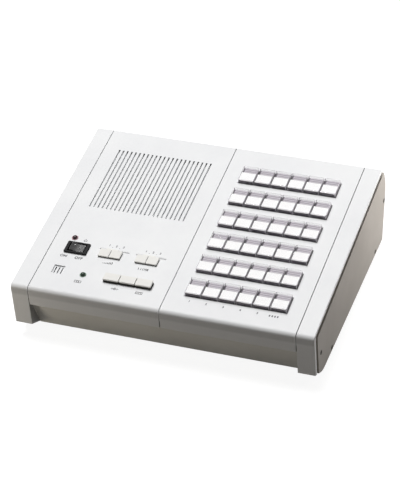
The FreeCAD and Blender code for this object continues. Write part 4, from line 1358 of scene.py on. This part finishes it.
@dataclass
class Markings:
    """Thin printed marks on both panels."""

    ink_height: float = 0.03
    letter: float = 3.0
    numeral: float = 2.3
    cap_share: float = 0.70
    weight: float = 0.045
    line: float = 0.5
    words: tuple[tuple[str, float, float], ...] = (("ON", -114.5, 48.6), ("OFF", -99.0, 48.3))
    signs: tuple[tuple[Sign, float, float], ...] = (
        (Sign.POWER, -101.1, 72.4), (Sign.LEVEL, -69.0, 48.6), (Sign.WAVE, -32.4, 48.1),
        (Sign.WAIT, -88.1, 18.9), (Sign.CALL, -50.1, 17.7), (Sign.TALK, -25.8, 17.6))
    slide_middles: tuple[float, float] = (-68.35, -30.85)
    slide_numeral: tuple[float, float] = (7.15, 71.7)
    slide_tick: tuple[float, float] = (3.6, 69.6)
    columns: int = 5
    first_column: tuple[float, float] = (24.0, 18.5)
    column_pitch: float = 16.55
    all_keys: tuple[float, float] = (106.1, 18.0)

    def lettering(self, text: str, height: float, x: float, y: float, ink: Finish) -> Solid:
        """Prints a text.

        Args:
            text: What it says.
            height: The height of its capitals.
            x: The middle of it on the deck.
            y: The same, up the deck.
            ink: What it is printed in.

        Returns:
            The letters as a solid.
        """
        curve = bpy.data.curves.new("lettering", "FONT")
        curve.body = text
        curve.size = height / self.cap_share
        curve.extrude = self.ink_height / 2
        curve.offset = height * self.weight
        curve.align_x = "CENTER"
        curve.align_y = "CENTER"
        curve.space_character = 1.1
        holder = bpy.data.objects.new("lettering", curve)
        mesh = bpy.data.meshes.new_from_object(holder)
        solid = Solid(ink)
        solid.form.from_mesh(mesh)
        bmesh.ops.remove_doubles(solid.form, verts=solid.form.verts, dist=MERGE)
        bpy.data.objects.remove(holder)
        bpy.data.curves.remove(curve)
        bpy.data.meshes.remove(mesh)
        return solid.moved((x, y, self.ink_height / 2))

    def bar(self, x: float, y: float, width: float, height: float, ink: Finish) -> Solid:
        """A printed bar, centred."""
        return Solid.post((x, y), (width, height), 0, self.ink_height, ink)

    def dot(self, x: float, y: float, radius: float, ink: Finish) -> Solid:
        """A printed dot."""
        return Solid.drum(radius, 0, self.ink_height, ink, 20).moved((x, y, 0))

    def ring(self, x: float, y: float, radius: float, ink: Finish, turn: float = math.tau) -> Solid:
        """Prints a ring, or the part of one that is centred on its lowest point.

        Args:
            x: Its middle on the deck.
            y: The same, up the deck.
            radius: Its outer radius.
            ink: What it is printed in.
            turn: How much of the ring there is.

        Returns:
            The ring.
        """
        solid = Solid(ink)
        whole = turn == math.tau
        line = self.line
        start = bmesh.ops.create_grid(solid.form, x_segments=1, y_segments=1, size=0.5)
        shape = Matrix.Translation((radius - line / 2, 0, self.ink_height / 2)) \
            @ Matrix.Rotation(math.pi / 2, 4, "X") @ Matrix.Diagonal((line, self.ink_height, 1, 1))
        bmesh.ops.transform(solid.form, matrix=shape, verts=start["verts"])
        section = solid.form.faces[:] + solid.form.edges[:] + solid.form.verts[:]
        bmesh.ops.spin(solid.form, geom=section, cent=(0, 0, 0), axis=UP, angle=turn,
                       steps=28, use_merge=whole)
        if whole:
            inner = [face for face in solid.form.faces
                     if abs(face.normal.y) > 0.999 and abs(face.calc_center_median().y) < 1e-6
                     and face.calc_area() < line * self.ink_height * 1.01]
            bmesh.ops.delete(solid.form, geom=inner, context="FACES_ONLY")
        bmesh.ops.remove_doubles(solid.form, verts=solid.form.verts, dist=MERGE)
        bmesh.ops.recalc_face_normals(solid.form, faces=solid.form.faces)
        return solid.moved(Matrix.Translation((x, y, 0)) @ Matrix.Rotation(-(math.pi + turn) / 2, 4, "Z"))

    def sign(self, kind: Sign, x: float, y: float, ink: Finish = INK) -> list[Solid]:
        """Prints a sign.

        Args:
            kind: Which sign.
            x: Its middle on the deck.
            y: The same, up the deck.
            ink: What it is printed in.

        Returns:
            Its solids.
        """
        line = self.line
        match kind:
            case Sign.POWER:
                return [self.ring(x, y, 1.7, ink, math.radians(290)), self.bar(x, y + 1.2, line, 2.0, ink)]
            case Sign.LEVEL:
                return [self.bar(x + step * 1.5, y - 1.5 + (1.6 + 0.4 * step) / 2 + 0.35, 0.7,
                                 1.9 + 0.4 * step, ink) for step in range(-3, 4)]
            case Sign.WAVE:
                return [self.bar(x + 6.0 * (1 - 0.8 ** step) * 2 - 5.0, y, line, 2.8, ink)
                        for step in range(8)]
            case Sign.CALL:
                return [self.ring(x, y, 1.5, ink), self.dot(x, y, 0.5, ink),
                        *(self.bar(x + side * reach, y, line, 4.4 - reach, ink)
                          for side in (-1, 1) for reach in (2.4, 3.4))]
            case Sign.TALK:
                return [*self.frame(x, y, 7.0, 2.9, ink), *(self.dot(x + step * 1.7, y, 0.45, ink)
                                                            for step in (-1, 0, 1))]
            case Sign.WAIT:
                return [*self.frame(x, y, 7.0, 2.9, ink), *(self.bar(x + side * 0.9, y, 0.7, 1.7, ink)
                                                            for side in (-1, 1))]
            case Sign.ALL:
                return [self.bar(x + step * 2.6, y, 1.2, 2.2, ink) for step in (-1.5, -0.5, 0.5, 1.5)]

    def frame(self, x: float, y: float, width: float, height: float, ink: Finish) -> list[Solid]:
        """The four bars of a printed outline, centred."""
        line = self.line
        return [self.bar(x + side * (width - line) / 2, y, line, height, ink) for side in (-1, 1)] \
            + [self.bar(x, y + side * (height - line) / 2, width - 2 * line, line, ink) for side in (-1, 1)]

    def slide_scale(self, middle: float) -> list[Solid]:
        """The numerals 1 to 3 and the ticks between them, above a slide control."""
        (step, numeral_y), (reach, tick_y) = self.slide_numeral, self.slide_tick
        return [self.lettering(str(index + 2), self.numeral, middle + index * step, numeral_y, PALE_INK)
                for index in (-1, 0, 1)] \
            + [self.bar(middle + side * reach, tick_y, 1.1, 0.4, PALE_INK) for side in (-1, 1)]

    def build(self) -> None:
        """Prints the marks of both panels."""
        left = Piece("control_markings", DECK)
        for word, x, y in self.words:
            left.add(self.lettering(word, self.letter, x, y, INK))
        for kind, x, y in self.signs:
            left.add(*self.sign(kind, x, y))
        for middle in self.slide_middles:
            left.add(*self.slide_scale(middle))
        left.place("casing_plastic", "station")
        right = Piece("key_numbers", DECK)
        first, y = self.first_column
        for index in range(self.columns):
            x = first + index * self.column_pitch
            right.add(self.lettering(str(index + 1), self.numeral, x, y, PALE_INK))
        right.add(*self.sign(Sign.ALL, *self.all_keys, PALE_INK))
        right.place("casing_plastic", "station")


# ---------------------------------------------------------------- sound and sockets

@dataclass
class Loudspeaker:
    """Pressed basket, paper cone with a rolled edge, dust cap and magnet."""

    rim: float = 38.5
    drop: float = 2.9
    cloth_low: tuple[float, float] = (-118.5, 116.0)
    cloth_high: tuple[float, float] = (-16.0, 206.0)
    cloth_thickness: float = 0.3
    basket_depth: float = 22.5
    roll_middle: float = 30.3
    roll_radius: float = 1.7
    roll_height: float = 1.2
    slots: int = 23
    first_slot: float = -115.4
    slot_pitch: float = 4.44
    slot_end: float = 203.0
    slot_end_shade_radius: float = 0.95

    def cloth(self) -> None:
        """Makes the cloth under the grille and dark discs of painted shade at the slots' rear ends."""
        sheet = Solid.block((*self.cloth_low, -self.drop),
                            (*self.cloth_high, self.cloth_thickness - self.drop), SPEAKER_CLOTH)
        sheet.rounded(3.0, 0.1)
        Piece("grille_cloth", DECK).add(sheet).place("speaker_metal", "station")
        slot_end_shades = Piece("grille_slot_end_shade", DECK)
        # Dark discs of painted shade at the rear ends of the slots.
        for slot in range(self.slots):
            slot_end_shades.add(Solid.drum(self.slot_end_shade_radius, -0.4, 0.03, SLOT_END_SHADE, 20).moved(
                (self.first_slot + slot * self.slot_pitch, self.slot_end, 0)))
        slot_end_shades.place("casing_plastic", "station")

    def build(self) -> None:
        """Makes the loudspeaker and its cloth under the grille."""
        self.cloth()
        low, high = DECK.extent("loudspeaker")
        middle = (low + high) / 2
        seat = -self.drop
        back = seat - self.basket_depth
        basket = [(31.9, seat), (self.rim - 0.4, seat), (self.rim, seat - 0.4), (self.rim, seat - 2.5),
                  (36.0, seat - 2.5), (35.2, seat - 4.0), (22.0, back), (0, back), (0, back + 1.6),
                  (21.0, back + 1.6), (33.6, seat - 3.4), (31.9, seat - 2.4), (31.9, seat)]
        turns = [math.radians(turn) for turn in range(0, 181, 30)]
        roll = [(self.roll_middle - self.roll_radius * math.cos(turn),
                 seat - 2.6 + self.roll_height * math.sin(turn)) for turn in turns]
        cone = [(0, seat - 12.5), (4.0, seat - 12.9), (7.6, seat - 14.4), (9.0, seat - 16.2),
                (17.0, seat - 9.6), (24.0, seat - 5.2), *roll, (32.0, seat - 2.9), (28.4, seat - 3.2),
                (23.6, seat - 6.0), (16.4, seat - 10.4), (9.0, seat - 17.4), (0, seat - 17.4)]
        magnet = [(0, back), (20.0, back), (20.0, back - 1.5), (22.5, back - 1.7), (22.5, back - 10.1),
                  (22.0, back - 10.6), (20.5, back - 10.6), (20.0, back - 12.0), (0, back - 12.0)]
        piece = Piece("cone_loudspeaker", DECK)
        for profile, finish in ((basket, BASKET), (cone, CONE), (magnet, SCREW_STEEL)):
            piece.add(Solid.turned(profile, finish, 56).moved((middle.x, middle.y, 0)))
        piece.place("speaker_metal", "station", "loudspeaker")


@dataclass
class RearSockets:
    """The line socket with its contact blade, and the power jack."""

    stand: float = 1.0
    depth: float = 13.0
    mouth_depth: float = 9.0
    mouth_margin: float = 2.8
    blade: tuple[float, float] = (33.2, 2.4)
    blade_drop: float = 2.0
    contacts: int = 15
    contact_pitch: float = 2.16
    contact: tuple[float, float] = (1.0, 0.24)
    contact_drop: float = 2.6
    jack_width: float = 14.0
    socket_gap: float = 11.0

    def line_socket(self, low: Vector, high: Vector) -> list[Solid]:
        """Makes the shell, the blade and its two rows of contacts.

        Args:
            low: Lowest corner of both sockets, on the back's plane.
            high: Highest corner of them.

        Returns:
            The solids.
        """
        right = high.x - self.jack_width - self.socket_gap
        middle = Vector(((low.x + right) / 2, 0, (low.z + high.z) / 2))
        shell = Solid.block((low.x, -self.depth, low.z), (right, self.stand, high.z), BLACK_PLASTIC)
        shell.rounded(0.8, 0.5, Y_WAY)
        mouth = shell.sink(shell.face(Y_WAY), self.mouth_margin - 0.5, self.mouth_depth)
        floor = mouth.calc_center_median().y
        across, up = (size / 2 for size in self.blade)
        blade = Solid.block((middle.x - across, floor, middle.z - up),
                            (middle.x + across, self.stand - self.blade_drop, middle.z + up), BLACK_PLASTIC)
        solids = [shell, blade.rounded(0.0, 0.5, Y_WAY)]
        half, rise = (size / 2 for size in self.contact)
        for index in range(self.contacts):
            x = middle.x + (index - (self.contacts - 1) / 2) * self.contact_pitch
            for z in (middle.z - up, middle.z + up):
                solids.append(Solid.block((x - half, floor, z - rise),
                                          (x + half, self.stand - self.contact_drop, z + rise), GOLD))
        return solids

    def jack(self, low: Vector, high: Vector) -> list[Solid]:
        """Makes the power jack: a square housing with a round throat and a pin.

        Args:
            low: Lowest corner of both sockets, on the back's plane.
            high: Highest corner of them.

        Returns:
            The solids.
        """
        half = self.jack_width / 2
        x, z = high.x - half, (low.z + high.z) / 2
        side = Matrix.Translation((x, 0, z)) @ Matrix.Rotation(-math.pi / 2, 4, "X")
        housing = Solid.block((x - half, -self.depth, low.z), (x + half, self.stand - 0.4, high.z),
                              BLACK_PLASTIC).rounded(0.8, 0.4, Y_WAY)
        stand, throat = self.stand, self.stand - self.mouth_depth
        collar = [(2.75, throat), (2.75, stand - 0.3), (3.05, stand), (4.9, stand), (5.2, stand - 0.3),
                  (5.2, stand - 1.0), (4.0, stand - 1.0), (4.0, throat), (2.75, throat)]
        pin = [(0, throat), (1.0, throat), (1.0, stand - 1.4), (0.7, stand - 1.0), (0, stand - 0.9)]
        return [housing, Solid.turned(collar, BRIGHT_METAL).moved(side),
                Solid.turned(pin, BRIGHT_METAL, 20).moved(side)]

    def build(self) -> None:
        """Makes both sockets where the frame has them."""
        low, high = BACK.extent("rear_sockets")
        piece = Piece("line_socket_and_jack", BACK)
        piece.add(*self.line_socket(low, high), *self.jack(low, high))
        piece.place("black_plastic", "station", "rear_sockets")


# ---------------------------------------------------------------- studio

@dataclass(frozen=True)
class Viewpoint:
    """Where the camera stands and what it looks at, in millimetres and degrees."""

    azimuth: float = 22.79
    elevation: float = 37.91
    roll: float = -4.97
    distance: float = 1912.4
    target: Point = (-21.4, 33.2, -1.2)
    lens: float = 137.37
    sensor: float = 36.0
    shift: tuple[float, float] = (0.0056, 0.019)

    def build(self) -> None:
        """Makes the camera."""
        azimuth, elevation, roll = map(math.radians, (self.azimuth, self.elevation, self.roll))
        back = Vector((math.sin(azimuth) * math.cos(elevation), -math.cos(azimuth) * math.cos(elevation),
                       math.sin(elevation)))
        right = (-back).cross(UP).normalized()
        turn = Matrix((right, back.cross(right), back)).transposed().to_4x4()
        data = bpy.data.cameras.new("camera")
        data.sensor_fit = "VERTICAL"
        data.sensor_height = self.sensor
        data.lens = self.lens
        data.shift_x, data.shift_y = self.shift
        camera = bpy.data.objects.new("camera", data)
        place = Matrix.Translation((Vector(self.target) + back * self.distance) * MM)
        camera.matrix_world = place @ turn @ Matrix.Rotation(roll, 4, "Z")
        bpy.context.scene.collection.objects.link(camera)
        bpy.context.scene.camera = camera


@dataclass(frozen=True)
class Softbox:
    """A rectangular lamp that faces the station."""

    name: str
    place: Point
    size: tuple[float, float]
    power: float
    colour: Colour = (1.0, 1.0, 1.0)
    aim: Point = (0.0, 0.0, 0.04)

    def build(self) -> None:
        """Makes the lamp."""
        data = bpy.data.lights.new(self.name, "AREA")
        data.shape = "RECTANGLE"
        data.size, data.size_y = self.size
        data.energy = self.power
        data.color = self.colour
        lamp = bpy.data.objects.new(self.name, data)
        lamp.visible_camera = False
        way = Vector(self.aim) - Vector(self.place)
        lamp.matrix_world = Matrix.Translation(self.place) @ way.to_track_quat("-Z", "Y").to_matrix().to_4x4()
        bpy.context.scene.collection.objects.link(lamp)


@dataclass
class Studio:
    """The pale floor, the backdrop and the lamps."""

    floor_size: float = 12.0
    floor_tone: Colour = (0.215, 0.198, 0.175)
    floor_grey: float = 0.28
    floor_glow: float = 0.9
    world_tone: Colour = (0.95, 0.97, 1.0)
    world_level: float = 0.04
    lamps: tuple[Softbox, ...] = (
        Softbox("overhead_softbox", (-0.95, 0.95, 4.60), (2.8, 1.2), 222.0, (1.0, 0.993, 0.985)),
        Softbox("rear_softbox", (-0.71, 1.19, 1.60), (0.20, 0.20), 3.6),
        Softbox("rear_side_softbox", (0.32, 0.175, 0.10), (0.10, 0.08), 0.38, (1.0, 0.97, 0.94),
                (0.15, 0.12, 0.05)),
        Softbox("front_left_softbox", (-0.30, -0.30, 0.045), (0.10, 0.05), 0.14, (1.0, 0.92, 0.78)))

    def seen_directly(self, recipe: Recipe) -> Signal:
        """Picks out the rays that come from the camera, a gloss or a clear piece.

        Args:
            recipe: The material to build it in.

        Returns:
            The mask, 1 on those rays.
        """
        rays = recipe.add("LightPath").outputs
        seen = recipe.maths("MAXIMUM", Signal(recipe, rays["Is Camera Ray"]),
                            Signal(recipe, rays["Is Glossy Ray"]))
        return recipe.maths("MAXIMUM", seen, Signal(recipe, rays["Is Transmission Ray"]))

    def floor(self) -> None:
        """Makes the floor: near white to look at, greyer in the light that it sends back."""
        solid = Solid.block((-1, -1, -0.01), (1, 1, 0), CASING).moved(Matrix.Diagonal(
            (self.floor_size / 2, self.floor_size / 2, 1, 1)))
        mesh = bpy.data.meshes.new("floor")
        solid.form.to_mesh(mesh)
        solid.form.free()
        recipe = Recipe("studio_floor")
        plain = recipe.principled(Base_Color=self.floor_tone, Roughness=0.9, Specular_IOR_Level=0.0)
        white = recipe.principled(Base_Color=(self.floor_grey,) * 3, Roughness=0.9,
                                  Specular_IOR_Level=0.0, Emission_Color=(1.0, 1.0, 1.0),
                                  Emission_Strength=self.floor_glow)
        mesh.materials.append(recipe.show(recipe.combine(self.seen_directly(recipe), plain, white)))
        floor = bpy.data.objects.new("floor", mesh)
        bpy.context.scene.collection.objects.link(floor)

    def backdrop(self) -> None:
        """Makes the world: white to look at, dimmer as a light."""
        world = bpy.data.worlds.new("backdrop")
        world.use_nodes = True
        recipe = Recipe("backdrop_nodes")
        recipe.tree = world.node_tree
        recipe.tree.nodes.clear()
        light = recipe.add("Background", {}, {"Color": self.world_tone, "Strength": self.world_level})
        white = recipe.add("Background", {}, {"Color": (1.0, 1.0, 1.0), "Strength": 1.0})
        shown = recipe.combine(self.seen_directly(recipe), light.outputs[0], white.outputs[0])
        recipe.add("OutputWorld", {}, {"Surface": shown})
        bpy.data.materials.remove(recipe.material)
        bpy.context.scene.world = world

    def build(self) -> None:
        """Makes the stage, the lamps and the camera."""
        self.floor()
        self.backdrop()
        for lamp in self.lamps:
            lamp.build()
        Viewpoint().build()
        bpy.context.scene.view_settings.view_transform = "Standard"


def main() -> None:
    """Builds the station and its studio."""
    logging.basicConfig(level=logging.INFO, format="%(message)s")
    assemblies = [Studio(), Casing(), RubberFeet(), CaseScrews(), StationKeys(), FunctionKeys(),
                  PowerSwitch(), SlideKnobs(), IndicatorLamps(), Markings(), Loudspeaker(), RearSockets()]
    for assembly in assemblies:
        assembly.build()
        log.info("%s built", type(assembly).__name__)


if __name__ == "__main__":
    main()
